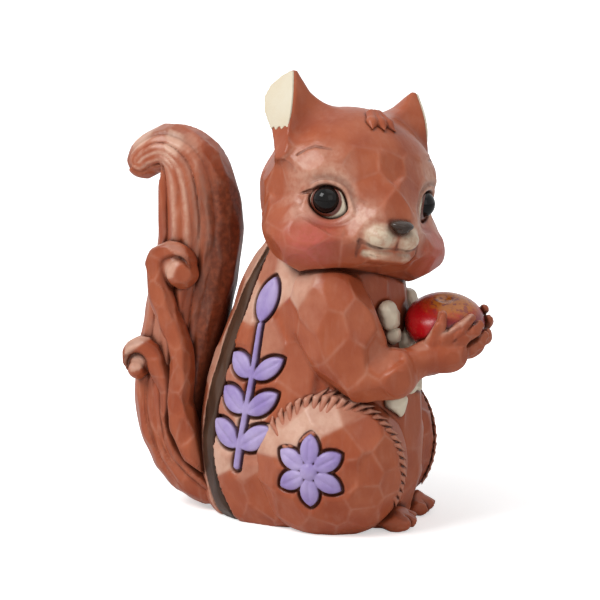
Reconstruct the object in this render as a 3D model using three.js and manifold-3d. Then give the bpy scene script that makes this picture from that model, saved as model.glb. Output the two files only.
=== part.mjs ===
// A seated chipmunk figurine, cast in painted resin to look like carved wood.
// The animal faces -Y and stands on z = 0. Its right side is at -X. Lengths are in millimetres.
// It is glued up from separate castings: body, head, ears, arms, legs, tail, fruit and trim.
import * as THREE from "three";
import { mergeVertices } from "three/addons/utils/BufferGeometryUtils.js";
import Module from "manifold-3d";

const wasm = await Module();
wasm.setup();

// Glue gap that every casting keeps to the pieces seated before it
const CLEARANCE = 0.3;

// Torso, an egg that leans forward as it rises
const TORSO_HEIGHT = 62;
const TORSO_HALF_WIDTH = 17;
const TORSO_HALF_DEPTH = 23;
const TORSO_SETBACK = 3.4;
const TORSO_LEAN = 5.4;

// Haunches, folded hind legs against the torso's sides
const HAUNCH_HALF_WIDTH = 11;
const HAUNCH_HALF_DEPTH = 15.4;
const HAUNCH_HALF_HEIGHT = 15.8;
const HAUNCH_INSET = 6.5;
const HAUNCH_FORWARD = 7.6;
const HAUNCH_RAISE = 14;

// Fringe of carved fur along each haunch's upper and front edge
const FRINGE_RADIUS = 1.3;
const FRINGE_TOOTH = 0.7;
const FRINGE_TEETH = 16;

// Hind feet
const FOOT_LENGTH = 16;
const FOOT_HALF_WIDTH = 4.2;
const FOOT_HEIGHT = 5.6;
const FOOT_OUT = 6.5;
const TOE_RADIUS = 1.7;
const MIDDLE_TOE_REACH = 0.6;

// Head, turned to the animal's right and tilted; it is longer behind and below its centre
const HEAD_HALF_WIDTH = 16.3;
const HEAD_HALF_DEPTH = 15.2;
const HEAD_HALF_HEIGHT = 15;
const HEAD_BACK_SHARE = 1.16;
const HEAD_LOW_SHARE = 1.2;
const HEAD_RAISE = 6;
const HEAD_FORWARD = 3;
const HEAD_TURN = 42;
const HEAD_TILT = 10;
const CHEEK_SWELL = 7.4;
const MUZZLE_REACH = 6.4;
const BROW_SWELL = 1.1;
const TEMPLE_HOLLOW = 2;
const NAPE_SWELL = 0.8;

// Lip pads and chin: half sizes and, from the head's centre, how far out, forward and down they lie
const LIP_HALF = [2.7, 3, 2.2];
const LIP_PLACE = [2.9, 18.6, 8.3];
const CHIN_HALF = [5, 2.8, 1.5];
const CHIN_PLACE = [0, 17.2, 12];

// Eyes and nose
const EYE_RADIUS = 2.75;
const EYE_SINK = 0.9;
const EYE_RIM_HALF = [4.1, 1, 3.6];
const EYE_RIM_SINK = 0.6;
const EYE_RIM_ASIDE = 0.65;
const EYE_RIM_DROP = 0.55;
const SOCKET_HALF = [5.2, 3.2, 4.5];
const SOCKET_LIFT = 2.1;
const NOSE_HALF_WIDTH = 2.5;
const NOSE_HALF_DEPTH = 1.75;
const NOSE_HALF_HEIGHT = 1.05;
const NOSE_FORWARD = 21.4;
const NOSE_DROP = 5.9;

// Ears: where a tip stands from the head's centre (out, back and up), and the ear's height
const EAR_OUT = 14.6;
const EAR_BACK = 2.9;
const EAR_RISE = 20.2;
const EAR_HEIGHT = 12.2;
const EAR_LINING_PROUD = 0.3;
const EAR_LINING_THICKNESS = 1;
const EAR_LINING_BORDER = 0.3;

// Tuft of hair on the brow
const FORELOCK_LENGTH = 4.8;
const FORELOCK_RADIUS = 1.3;

// Tail, a plume that hooks backwards at the top
const TAIL_HEIGHT = 73.3;
const TAIL_REACH = 11.5;
const TAIL_HALF_WIDTH = 8;
const TAIL_HALF_THICKNESS = 8;

// Curled locks on both faces of the tail, each wound round a knob
const CURL_RADIUS = 3.1;
const CURL_WEB_THICKNESS = 4.4;
const UPPER_KNOB = 3.3;
const LOWER_KNOB = 2.1;
const UPPER_CURL_OUT = 7.4;
const LOWER_CURL_OUT = 5.8;

// Arms and hands
const ARM_HALF_WIDTH = 6;
const ARM_HALF_DEPTH = 8.8;
const ARM_HALF_LENGTH = 13.6;
const SHOULDER_RAISE = 41;
const SHOULDER_STANDOFF = 1;
const FOREARM_RADIUS = 4.6;
const FOREARM_BOW = 2;
const FOREARM_SAG = 1.4;
const WRIST_RADIUS = 3.9;
const WRIST_TUCK = 0.4;
const WRIST_SETBACK = 1.4;
const WRIST_RAISE = 1;
const FINGER_RADIUS = 1.3;
const PALM_RADIUS = 4.2;
const PALM_LIFT = 1.2;

// Fruit held in both hands
const APPLE_RADIUS = 8.1;
const APPLE_HALF_HEIGHT = 6.4;
const APPLE_DIMPLE = 1.6;
const APPLE_STANDOFF = 8.1;
const APPLE_RAISE = 41.2;
const APPLE_TIP = 12;

// Pale bib of fur on the chest
const BIB_HALF_WIDTH = 7;
const BIB_TOP = 45;
const BIB_BOTTOM = 23;
const BIB_PROUD = 1.6;
const TUFT_RADIUS = 2.5;

// Dark bands let into both sides of the back
const STRIPE_HALF_WIDTH = 2;
const STRIPE_HALF_THICKNESS = 0.8;
const STRIPE_SINK = 0.6;
const STRIPE_TURN = 37;

// Raised painted sprig on each flank and flower on each haunch
const RELIEF_PROUD = 1.2;
const SPRIG_STEM_RADIUS = 1.1;
const SPRIG_LEAF_LENGTH = 9;
const SPRIG_LEAF_WIDTH = 4.6;
const SPRIG_PAIRS = 3;
const PETALS = 6;
const PETAL_LENGTH = 6;
const PETAL_WIDTH = 3.8;

// Steel locating dowels in the glued joints
const NECK_DOWEL_RADIUS = 2;
const NECK_DOWEL_LENGTH = 16;
const TAIL_DOWEL_RADIUS = 1.6;
const TAIL_DOWEL_LENGTH = 14;
const ARM_DOWEL_RADIUS = 1.2;
const ARM_DOWEL_LENGTH = 9;

// Finishes
const paint = (color, roughness, metalness = 0) =>
  new THREE.MeshStandardMaterial({ color, roughness, metalness });
const FINISH = {
  russet: paint(0x9a5538, 0.45),
  darkBand: paint(0x4a3326, 0.5),
  cream: paint(0xe2dcc4, 0.5),
  eyeBlack: paint(0x1c1c1e, 0.15),
  noseBlack: paint(0x37302e, 0.3),
  appleRed: paint(0xa8362a, 0.3),
  lavender: paint(0x9d8dc4, 0.5),
  steel: paint(0x9aa0a6, 0.35, 1),
};

const SIDES = { right: -1, left: 1 };
const radians = THREE.MathUtils.degToRad;
const vec = (x, y, z) => new THREE.Vector3(x, y, z);
const UP = vec(0, 0, 1);
const ACROSS = vec(1, 0, 0);
const BACK = vec(0, 1, 0);

// Turns a closed geometry into a solid that can be joined and cut.
function solidOf(geometry) {
  const bare = new THREE.BufferGeometry().setAttribute("position", geometry.getAttribute("position"));
  bare.setIndex(geometry.index);
  const merged = mergeVertices(bare, 1e-4);
  return new wasm.Manifold(
    new wasm.Mesh({
      numProp: 3,
      vertProperties: new Float32Array(merged.getAttribute("position").array),
      triVerts: new Uint32Array(merged.index.array),
    }),
  );
}

// Turns a solid back into a geometry.
function geometryOf(solid) {
  const mesh = solid.getMesh();
  const geometry = new THREE.BufferGeometry();
  geometry.setAttribute("position", new THREE.BufferAttribute(mesh.vertProperties, 3));
  geometry.setIndex(new THREE.BufferAttribute(mesh.triVerts, 1));
  geometry.computeVertexNormals();
  return geometry;
}

const join = (solids) => solids.reduce((whole, next) => whole.add(next));

// The largest body of a solid, without crumbs that a cut left behind.
function mainBody(solid) {
  const bodies = solid.decompose();
  return bodies.reduce((best, next) => (next.volume() > best.volume() ? next : best));
}

// A closed skin over rings of points, with a fan over each end.
function skin(rings) {
  const sides = rings[0].length;
  const middle = (ring) => ring.reduce((sum, p) => sum.add(p), vec(0, 0, 0)).divideScalar(sides);
  const points = [...rings.flat(), middle(rings[0]), middle(rings.at(-1))];
  const start = rings.length * sides;
  const end = start + 1;
  const index = [];
  for (let k = 0; k < sides; k++) {
    const next = (k + 1) % sides;
    for (let i = 0; i + 1 < rings.length; i++) {
      const low = i * sides;
      const high = low + sides;
      index.push(low + k, low + next, high + next, low + k, high + next, high + k);
    }
    const last = (rings.length - 1) * sides;
    index.push(start, next, k, end, last + k, last + next);
  }
  const geometry = new THREE.BufferGeometry().setFromPoints(points);
  geometry.setIndex(index);
  return solidOf(geometry);
}

// A smooth curve through points, where t = i / (n - 1) is the i-th point.
const through = (points) => new THREE.CatmullRomCurve3(points, false, "catmullrom", 0.5);

// A limb along a path. Each radius pair is the half size along `side` and the half size square to it.
// `turns` lists the ring's angles, and `dent` is how deep the surface lies under the plain oval.
function limb({ path, radii, side = ACROSS, steps = 12, sides = 12, turns, dent = () => 0 }, grow = 0) {
  const angles = turns ?? Array.from({ length: sides }, (_, k) => (2 * Math.PI * k) / sides);
  const line = through(path);
  const sizes = through(radii.map(([a, b]) => vec(a, b, 0)));
  const rings = [];
  for (let i = 0; i <= steps; i++) {
    const t = i / steps;
    const forward = line.getTangent(t);
    const across = side.clone().addScaledVector(forward, -side.dot(forward)).normalize();
    const other = forward.clone().cross(across);
    const overrun = i === 0 ? -grow : i === steps ? grow : 0;
    const centre = line.getPoint(t).addScaledVector(forward, overrun);
    const size = sizes.getPoint(t);
    const ring = [];
    for (const angle of angles) {
      const lift = grow - dent(t, angle);
      ring.push(
        centre
          .clone()
          .addScaledVector(across, (size.x + lift) * Math.cos(angle))
          .addScaledVector(other, (size.y + lift) * Math.sin(angle)),
      );
    }
    rings.push(ring);
  }
  return skin(rings);
}

const cube = (size) => vec(size, size, size);

// A ball scaled to half sizes, turned and moved into place.
function ellipsoid({ at, half, turn = new THREE.Matrix4(), detail = 18 }, grow = 0) {
  const ball = new THREE.SphereGeometry(1, detail, Math.round(detail * 0.7));
  ball.scale(half.x + grow, half.y + grow, half.z + grow);
  ball.applyMatrix4(turn);
  ball.translate(at.x, at.y, at.z);
  return solidOf(ball);
}

// A ball whose surface lies at the reach that is given for each direction.
function swollenBall(reachOf, detail, grow = 0) {
  const ball = new THREE.SphereGeometry(1, detail, Math.round(detail * 0.7));
  const position = ball.getAttribute("position");
  const direction = vec(0, 0, 0);
  for (let i = 0; i < position.count; i++) {
    direction.fromBufferAttribute(position, i).normalize();
    direction.multiplyScalar(reachOf(direction) + grow);
    position.setXYZ(i, direction.x, direction.y, direction.z);
  }
  return solidOf(ball);
}

// A round rod between two points.
function rod(from, to, radius, grow = 0) {
  const line = new THREE.LineCurve3(from, to);
  const length = line.getLength() + 2 * grow;
  const cylinder = new THREE.CylinderGeometry(radius + grow, radius + grow, length, 16);
  const forward = to.clone().sub(from).normalize();
  cylinder.applyQuaternion(new THREE.Quaternion().setFromUnitVectors(vec(0, 1, 0), forward));
  const middle = line.getPoint(0.5);
  cylinder.translate(middle.x, middle.y, middle.z);
  return solidOf(cylinder);
}

// A turn that lays a ball's X and Y axes along two directions that are square to each other.
const facing = (x, y) => new THREE.Matrix4().makeBasis(x, y, x.clone().cross(y));

// Everything below the shelf is cut away, which leaves a flat foot.
const SHELF_SIZE = 40 * HAUNCH_HALF_DEPTH;
const shelf = new THREE.BoxGeometry(SHELF_SIZE, SHELF_SIZE, SHELF_SIZE).translate(0, 0, -SHELF_SIZE / 2);
const onShelf = (solid) => solid.subtract(solidOf(shelf));

// Torso's outline: share of its height, then shares of its half width and half depth there
const TORSO_PROFILE = [
  [0, 0.77, 0.83],
  [0.065, 0.91, 0.935],
  [0.19, 1, 1],
  [0.355, 1, 0.98],
  [0.52, 0.94, 0.89],
  [0.68, 0.85, 0.78],
  [0.81, 0.735, 0.67],
  [0.92, 0.59, 0.52],
  [1, 0.42, 0.36],
];
const torsoCurve = through(TORSO_PROFILE.map(([rise, width, depth]) => vec(rise, width, depth)));

// Torso's ring at a height: its centre's Y, half width and half depth.
function torsoRing(height) {
  const rise = THREE.MathUtils.clamp(height / TORSO_HEIGHT, 0, 1);
  let low = 0;
  let high = 1;
  for (let i = 0; i < 30; i++) {
    const t = (low + high) / 2;
    if (torsoCurve.getPoint(t).x < rise) low = t;
    else high = t;
  }
  const share = torsoCurve.getPoint(low);
  return {
    y: TORSO_SETBACK - TORSO_LEAN * rise * rise,
    halfWidth: TORSO_HALF_WIDTH * share.y,
    halfDepth: TORSO_HALF_DEPTH * share.z,
  };
}

// A point on the torso, `turn` degrees from the spine towards one side, and the way out of the skin there.
function onTorso(side, turn, height, lift = 0) {
  const { y, halfWidth, halfDepth } = torsoRing(height);
  const angle = radians(turn);
  const out = vec((side * Math.sin(angle)) / halfWidth, Math.cos(angle) / halfDepth, 0).normalize();
  const at = vec(side * halfWidth * Math.sin(angle), y + halfDepth * Math.cos(angle), height);
  return { at: at.addScaledVector(out, lift), out };
}

const TORSO_STEPS = 12;
const TORSO_SIDES = 22;
function torsoShape(grow) {
  const rings = [];
  for (let i = 0; i <= TORSO_STEPS; i++) {
    const height = (TORSO_HEIGHT * i) / TORSO_STEPS;
    const { y, halfWidth, halfDepth } = torsoRing(height);
    const lift = i === 0 ? -grow : i === TORSO_STEPS ? grow : 0;
    const ring = [];
    for (let k = 0; k < TORSO_SIDES; k++) {
      const angle = (2 * Math.PI * k) / TORSO_SIDES;
      ring.push(
        vec((halfWidth + grow) * Math.cos(angle), y + (halfDepth + grow) * Math.sin(angle), height + lift),
      );
    }
    rings.push(ring);
  }
  return skin(rings);
}

// The assembly, and the turned group that carries the head
const figurine = new THREE.Group();
const headGroup = new THREE.Group();
const NECK = torsoRing(TORSO_HEIGHT);
headGroup.position.set(0, NECK.y - HEAD_FORWARD, TORSO_HEIGHT + HEAD_RAISE);
headGroup.rotation.set(0, radians(HEAD_TILT), radians(-HEAD_TURN), "ZYX");
figurine.add(headGroup);
figurine.updateMatrixWorld(true);

// Seats a casting: it is cut back from all that is seated already, and later ones are cut back from it.
const seated = [];
function seat(name, material, shape, group = figurine) {
  const toWorld = group.matrixWorld.toArray();
  const toLocal = group.matrixWorld.clone().invert().toArray();
  const cut = seated.reduce((solid, other) => solid.subtract(other.transform(toLocal)), shape(0));
  seated.push(shape(CLEARANCE).transform(toWorld));
  const mesh = new THREE.Mesh(geometryOf(mainBody(cut)), material.clone());
  mesh.name = name;
  group.add(mesh);
}

// The same for a pair, one on each side of the animal.
function seatPair(name, material, shape, group = figurine) {
  for (const [word, side] of Object.entries(SIDES)) {
    seat(`${name}_${word}`, material, (grow) => shape(side, grow), group);
  }
}

// Steel dowels come first, so that both castings of a joint are bored for them.
seat("neck_dowel", FINISH.steel, (grow) => {
  const top = vec(0, NECK.y, TORSO_HEIGHT + NECK_DOWEL_LENGTH / 2);
  return rod(top.clone().addScaledVector(UP, -NECK_DOWEL_LENGTH), top, NECK_DOWEL_RADIUS, grow);
});

const TAIL_DOWEL_RISE = 0.3 * TORSO_HEIGHT;
seat("tail_dowel", FINISH.steel, (grow) => {
  const { at, out } = onTorso(1, 0, TAIL_DOWEL_RISE);
  const half = TAIL_DOWEL_LENGTH / 2;
  const inner = at.clone().addScaledVector(out, -half);
  return rod(inner, at.clone().addScaledVector(out, half), TAIL_DOWEL_RADIUS, grow);
});

const SHOULDER_TURN = 115;
seatPair("arm_dowel", FINISH.steel, (side, grow) => {
  const { at, out } = onTorso(side, SHOULDER_TURN, SHOULDER_RAISE);
  const half = ARM_DOWEL_LENGTH / 2;
  const inner = at.clone().addScaledVector(out, -half);
  return rod(inner, at.clone().addScaledVector(out, half), ARM_DOWEL_RADIUS, grow);
});

// Head's surface, in the head's own frame: its half sizes, and swells as a direction, a height and a spread
const headHalf = vec(HEAD_HALF_WIDTH, HEAD_HALF_DEPTH, HEAD_HALF_HEIGHT);
const CHEEK_FULL = -0.55;
const CHEEK_TOP = -0.1;
const pairedSwells = (x, y, z, height, spread, low = false) =>
  Object.values(SIDES).map((side) => ({ towards: vec(x * side, y, z).normalize(), height, spread, low }));
const headSwells = [
  ...pairedSwells(0.74, -0.42, -0.53, CHEEK_SWELL, 0.56, true),
  ...pairedSwells(0.86, -0.44, 0.25, BROW_SWELL, 0.45),
  ...pairedSwells(0.82, 0.5, 0.3, -TEMPLE_HOLLOW, 0.3),
  ...pairedSwells(0.87, 0.5, -0.2, NAPE_SWELL, 0.4),
  { towards: vec(0, -0.93, -0.37).normalize(), height: MUZZLE_REACH, spread: 0.42 },
];

// How far the head reaches from its centre in a direction. Cheeks fade out towards the eyes.
function headReach(direction) {
  const half = headHalf.clone();
  if (direction.y > 0) half.y *= HEAD_BACK_SHARE;
  if (direction.z < 0) half.z *= HEAD_LOW_SHARE;
  let reach = 1 / direction.clone().divide(half).length();
  const cheek = 1 - THREE.MathUtils.smoothstep(direction.z, CHEEK_FULL, CHEEK_TOP);
  for (const { towards, height, spread, low } of headSwells) {
    const off = direction.angleTo(towards) / spread;
    reach += (low ? cheek : 1) * height * Math.exp(-off * off);
  }
  return reach;
}

// A point on the head's surface in a given direction.
function onHead(x, y, z, lift = 0) {
  const direction = vec(x, y, z).normalize();
  return direction.multiplyScalar(headReach(direction) + lift);
}

// Eyes are glossy domes in a pale rim. The left one sits a little higher, as on the hand-made original.
const EYE_DROP = { right: 0.185, left: 0.12 };
const eyeDrop = (side) => (side === SIDES.right ? EYE_DROP.right : EYE_DROP.left);
function eyeFrame(side) {
  const out = vec(0.6 * side, -0.79, -0.1).normalize();
  const across = out.clone().cross(UP).normalize();
  const up = across.clone().cross(out);
  const at = onHead(0.7 * side, -0.685, -eyeDrop(side)).addScaledVector(out, -EYE_SINK);
  return { at, out, across, up };
}

// A ball before an eye, that far above the skull.
function beforeEye(side, half, lift, grow) {
  const { at, out, across, up } = eyeFrame(side);
  at.addScaledVector(across, -EYE_RIM_ASIDE).addScaledVector(out, EYE_SINK + lift);
  at.addScaledVector(up, -EYE_RIM_DROP);
  return ellipsoid({ at, half: vec(...half), turn: facing(across, out), detail: 14 }, grow);
}
seatPair(
  "eye",
  FINISH.eyeBlack,
  (side, grow) => ellipsoid({ at: eyeFrame(side).at, half: cube(EYE_RADIUS), detail: 12 }, grow),
  headGroup,
);
seatPair(
  "eye_rim",
  FINISH.cream,
  (side, grow) => beforeEye(side, EYE_RIM_HALF, -EYE_RIM_SINK, grow),
  headGroup,
);

// Nose: a broad pad that narrows below
seat(
  "nose",
  FINISH.noseBlack,
  (grow) => {
    const at = vec(0, -NOSE_FORWARD, -NOSE_DROP);
    const padHalf = vec(NOSE_HALF_WIDTH, NOSE_HALF_DEPTH, NOSE_HALF_HEIGHT);
    const padAt = at.clone().addScaledVector(UP, NOSE_HALF_HEIGHT / 3);
    const tipHalf = vec(NOSE_HALF_WIDTH / 2, NOSE_HALF_DEPTH * 0.9, NOSE_HALF_HEIGHT);
    const tipAt = at.clone().addScaledVector(UP, -NOSE_HALF_HEIGHT / 2);
    const pad = ellipsoid({ at: padAt, half: padHalf, detail: 12 }, grow);
    return join([pad, ellipsoid({ at: tipAt, half: tipHalf, detail: 10 }, grow)]);
  },
  headGroup,
);

// Fruit: a lathe profile with a dimple at both ends, tipped towards the face
const torsoFront = (height) => torsoRing(height).y - torsoRing(height).halfDepth;
const appleAt = vec(0, torsoFront(APPLE_RAISE) - APPLE_STANDOFF, APPLE_RAISE);
const APPLE_STEPS = 10;
seat("apple", FINISH.appleRed, (grow) => {
  const profile = [];
  for (let i = 0; i <= APPLE_STEPS; i++) {
    const angle = (Math.PI * i) / APPLE_STEPS;
    const dent = APPLE_DIMPLE * Math.exp(-((Math.sin(angle) / 0.35) ** 2));
    const height = -Math.cos(angle) * (APPLE_HALF_HEIGHT + grow - dent);
    const end = i === 0 || i === APPLE_STEPS;
    profile.push(new THREE.Vector2(end ? 0 : Math.sin(angle) * (APPLE_RADIUS + grow), height));
  }
  const body = new THREE.LatheGeometry(profile, 18);
  body.rotateX(Math.PI / 2 + radians(APPLE_TIP));
  body.translate(appleAt.x, appleAt.y, appleAt.z);
  return solidOf(body);
});

// Dark bands beside the spine, seated before the torso so that it has a channel for them
const STRIPE_SHARES = [0.87, 0.74, 0.58, 0.42, 0.27, 0.13, 0.02];
const STRIPE_SPLAY = 9;
seatPair("back_stripe", FINISH.darkBand, (side, grow) => {
  const path = STRIPE_SHARES.map((share) => {
    const splay = STRIPE_SPLAY * Math.max(0, 1 - share / 0.27);
    return onTorso(side, STRIPE_TURN + splay, share * TORSO_HEIGHT, -STRIPE_SINK).at;
  });
  const radii = STRIPE_SHARES.map((share) => [
    STRIPE_HALF_WIDTH * (share > 0.8 ? 0.5 : 1),
    STRIPE_HALF_THICKNESS,
  ]);
  const beside = onTorso(side, STRIPE_TURN, TAIL_DOWEL_RISE).out.clone().cross(UP);
  return onShelf(limb({ path, radii, side: beside, steps: 14, sides: 8 }, grow));
});

seat("torso", FINISH.russet, (grow) => onShelf(torsoShape(grow)));

const haunchAt = (side) =>
  vec(side * (TORSO_HALF_WIDTH - HAUNCH_INSET), TORSO_SETBACK - HAUNCH_FORWARD, HAUNCH_RAISE);
const haunchHalf = vec(HAUNCH_HALF_WIDTH, HAUNCH_HALF_DEPTH, HAUNCH_HALF_HEIGHT);
seatPair("haunch", FINISH.russet, (side, grow) =>
  onShelf(ellipsoid({ at: haunchAt(side), half: haunchHalf, detail: 16 }, grow)),
);

// Head with its two lip pads, chin and eye sockets
const inFace = ([out, forward, down], side) => vec(out * side, -forward, -down);
seat(
  "head",
  FINISH.russet,
  (grow) => {
    const skull = swollenBall(headReach, 30, grow);
    const lips = Object.values(SIDES).map((side) =>
      ellipsoid({ at: inFace(LIP_PLACE, side), half: vec(...LIP_HALF), detail: 12 }, grow),
    );
    const chin = ellipsoid({ at: inFace(CHIN_PLACE, 1), half: vec(...CHIN_HALF), detail: 12 }, grow);
    const sockets = Object.values(SIDES).map((side) => beforeEye(side, SOCKET_HALF, SOCKET_LIFT, -grow));
    return join([skull, ...lips, chin]).subtract(join(sockets));
  },
  headGroup,
);

// Ears: a front ridge leans down from the tip, and two faces run back from it. Each row is a share of
// the ear's height below the tip, the reach of the pale outer face and the reach of the inner face.
const EAR_ROWS = [
  [-0.02, 0.6, 0.9],
  [0.1, 3.4, 2.2],
  [0.3, 6.6, 4.4],
  [0.5, 8.1, 8],
  [0.75, 7.6, 13],
  [1, 5.3, 13],
  [1.2, 4.2, 9],
  [1.4, 3.6, 6],
];
const EAR_RIDGE = vec(0.12, 0.32, 0.94).normalize();
const EAR_BOW = vec(0.4, 1.3, 0);
const EAR_OUTER_WAY = vec(-0.2, 0.98, 0).normalize();
const EAR_INNER_WAY = vec(0.97, 0.24, 0).normalize();

// A point of an ear, at a share of its height and at distances from the ridge along both faces.
function inEar(side, share, outer, inner) {
  const bow = Math.sin(Math.PI * THREE.MathUtils.clamp(share, 0, 1));
  const off = vec(0, 0, 0)
    .addScaledVector(EAR_OUTER_WAY, outer)
    .addScaledVector(EAR_INNER_WAY, inner)
    .addScaledVector(EAR_RIDGE, -share * EAR_HEIGHT)
    .addScaledVector(EAR_BOW, -bow);
  return vec(side * (EAR_OUT - off.x), EAR_BACK + off.y, EAR_RISE + off.z);
}

// A skin over rows of an ear, where `section` gives a ring's distances along both faces for a row.
function earSkin(side, rows, section, grow) {
  const rings = rows.map((row, i) => {
    const end = i === 0 ? -1 : i === rows.length - 1 ? 1 : 0;
    const ring = section(row);
    const middle = ring.reduce((sum, p) => sum.add(p), new THREE.Vector2()).divideScalar(ring.length);
    const points = ring.map((p) => {
      const away = p.clone().sub(middle);
      const place = away.setLength(away.length() + grow).add(middle);
      return inEar(side, row[0] + (end * grow) / EAR_HEIGHT, place.x, place.y);
    });
    return side < 0 ? points : points.reverse();
  });
  return skin(rings);
}

// The round back of an ear is an arc of the oval that passes the ridge and the ends of both faces.
const EAR_ARC = [-45, -15, 15, 45, 75, 105, 135];
const earSection = ([, outer, inner]) => [
  new THREE.Vector2(0, 0),
  ...EAR_ARC.map((turn) => {
    const angle = radians(turn);
    const half = Math.SQRT1_2;
    return new THREE.Vector2(outer * (0.5 + half * Math.cos(angle)), inner * (0.5 + half * Math.sin(angle)));
  }),
];
const LINING_ROWS = EAR_ROWS.slice(1, 6);
const liningSection = ([, outer]) => [
  new THREE.Vector2(EAR_LINING_BORDER, -EAR_LINING_PROUD),
  new THREE.Vector2(outer - EAR_LINING_BORDER, -EAR_LINING_PROUD),
  new THREE.Vector2(outer - EAR_LINING_BORDER, EAR_LINING_THICKNESS - EAR_LINING_PROUD),
  new THREE.Vector2(EAR_LINING_BORDER, EAR_LINING_THICKNESS - EAR_LINING_PROUD),
];
seatPair(
  "ear_lining",
  FINISH.cream,
  (side, grow) => earSkin(side, LINING_ROWS, liningSection, grow),
  headGroup,
);
seatPair("ear", FINISH.russet, (side, grow) => earSkin(side, EAR_ROWS, earSection, grow), headGroup);

// Three pointed locks that fall forward from the crown
const LOCK_SPREAD = [-1, 0, 1];
seat(
  "forelock",
  FINISH.russet,
  (grow) => {
    const locks = LOCK_SPREAD.map((place) => {
      const root = onHead(0.06 * place, -0.38, 0.9);
      const tip = onHead(0.2 * place, -0.7, 0.75, FORELOCK_RADIUS * 0.4);
      const reach = tip.clone().sub(root).setLength(FORELOCK_LENGTH);
      const path = [root, root.clone().addScaledVector(reach, 0.5), root.clone().add(reach)];
      const radii = [1.1, 0.9, 0.15].map((share) => [FORELOCK_RADIUS * share, FORELOCK_RADIUS * share]);
      return limb({ path, radii, steps: 4, sides: 6 }, grow);
    });
    return join(locks);
  },
  headGroup,
);

// Tail: each station is a setback from the torso's back and a height, as shares of reach and height,
// then the shares of its half thickness and half width
const TAIL_STATIONS = [
  [-0.63, 0.055, 0.85, 0.5],
  [-0.15, 0.085, 0.98, 0.75],
  [0.3, 0.153, 1, 0.9],
  [0.56, 0.277, 1, 0.97],
  [0.45, 0.425, 1, 1.05],
  [0.25, 0.573, 1, 1.09],
  [0.08, 0.712, 1, 1.06],
  [0.05, 0.83, 1, 1.08],
  [0.2, 0.95, 0.95, 0.9],
  [0.56, 1, 0.88, 0.66],
  [0.88, 0.988, 0.78, 0.55],
  [1.05, 0.968, 0.66, 0.5],
];
const torsoBack = torsoRing(TAIL_DOWEL_RISE).y + torsoRing(TAIL_DOWEL_RISE).halfDepth;
const tailPath = TAIL_STATIONS.map(([setback, rise]) =>
  vec(0, torsoBack + setback * TAIL_REACH, rise * TAIL_HEIGHT),
);
const tailRadii = TAIL_STATIONS.map(([, , thick, wide]) => [
  thick * TAIL_HALF_THICKNESS,
  wide * TAIL_HALF_WIDTH,
]);

// Valleys between the locks of the tail: place across it from its outer edge, and depth. A valley is steep
// towards the outer edge and gentle towards the body.
const TAIL_LOCKS = [
  [0.22, 1.2],
  [0.395, 0.9],
  [0.525, 0.8],
  [0.64, 1.4],
  [0.77, 0.7],
];
const LOCK_STEEP_RUN = 0.6;
const LOCK_GENTLE_RUN = 1.5;
const LOCK_CREST = 0.05;
const TAIL_ROOT_END = 0.2;
function tailDent(t, angle) {
  const place = (1 - Math.sin(angle)) / 2;
  const depths = TAIL_LOCKS.map(([at, depth]) => {
    const away = (place - at) * 2 * TAIL_HALF_WIDTH;
    return depth * Math.exp(away < 0 ? away / LOCK_STEEP_RUN : -away / LOCK_GENTLE_RUN);
  });
  const total = depths.reduce((sum, depth) => sum + depth);
  return total * THREE.MathUtils.smoothstep(t, 0, TAIL_ROOT_END);
}
const lockPlaces = [0, ...TAIL_LOCKS.flatMap(([at]) => [at - LOCK_CREST, at]), 0.9];
const innerTurns = lockPlaces.map((place) => Math.asin(1 - 2 * place));
const outerTurns = innerTurns.slice(1).map((turn) => Math.PI - turn);
const tailTurns = [-Math.PI / 2, ...innerTurns.toReversed(), ...outerTurns];
seat("tail", FINISH.russet, (grow) =>
  onShelf(limb({ path: tailPath, radii: tailRadii, steps: 24, turns: tailTurns, dent: tailDent }, grow)),
);

// A lock climbs along the tail, then bends over a knob. Rows of its stem are shares of the tail's reach
// and height and a half width. Rows of its coil are a turn, where 0 is backwards and 90 is up, a distance
// from the coil's middle and a half width. The knob lies off that middle.
const onTail = (setback, rise) => vec(0, torsoBack + setback * TAIL_REACH, rise * TAIL_HEIGHT);
function curl(side, { middle, stem, coil, knob, knobRadius, out }, grow) {
  const centre = onTail(...middle).setX(side * out);
  const path = stem.map(([setback, rise]) => onTail(setback, rise).setX(side * out));
  for (const [turn, reach] of coil) {
    const angle = radians(turn);
    path.push(centre.clone().add(vec(0, reach * Math.cos(angle), reach * Math.sin(angle))));
  }
  const radii = [...stem, ...coil].map(([, , half]) => [CURL_RADIUS, half]);
  const lock = limb({ path, radii, steps: 36, sides: 8 }, grow);
  const ballAt = centre.clone().add(vec(0, ...knob));
  const ballHalf = vec(CURL_RADIUS, knobRadius, knobRadius);
  const webHalf = vec(CURL_WEB_THICKNESS / 2, knobRadius, knobRadius);
  const ball = ellipsoid({ at: ballAt, half: ballHalf, detail: 10 }, grow);
  return onShelf(join([lock, ball, ellipsoid({ at: centre, half: webHalf, detail: 8 }, grow)]));
}
const upperCurl = {
  middle: [0.34, 0.69],
  stem: [
    [-0.226, 0.128, 0.6],
    [-0.05, 0.172, 2.1],
    [0.11, 0.237, 2.7],
    [0.21, 0.311, 2.4],
    [0.174, 0.378, 2.25],
    [0.174, 0.446, 2.15],
    [0.287, 0.51, 2.15],
    [0.487, 0.59, 2.4],
  ],
  coil: [
    [-20, 3.2, 2.1],
    [45, 3.3, 1.75],
    [90, 3.4, 1.5],
    [135, 4.2, 1],
    [170, 4.6, 0.6],
  ],
  knob: [-2.06, -1.08],
  knobRadius: UPPER_KNOB,
  out: UPPER_CURL_OUT,
};
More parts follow.
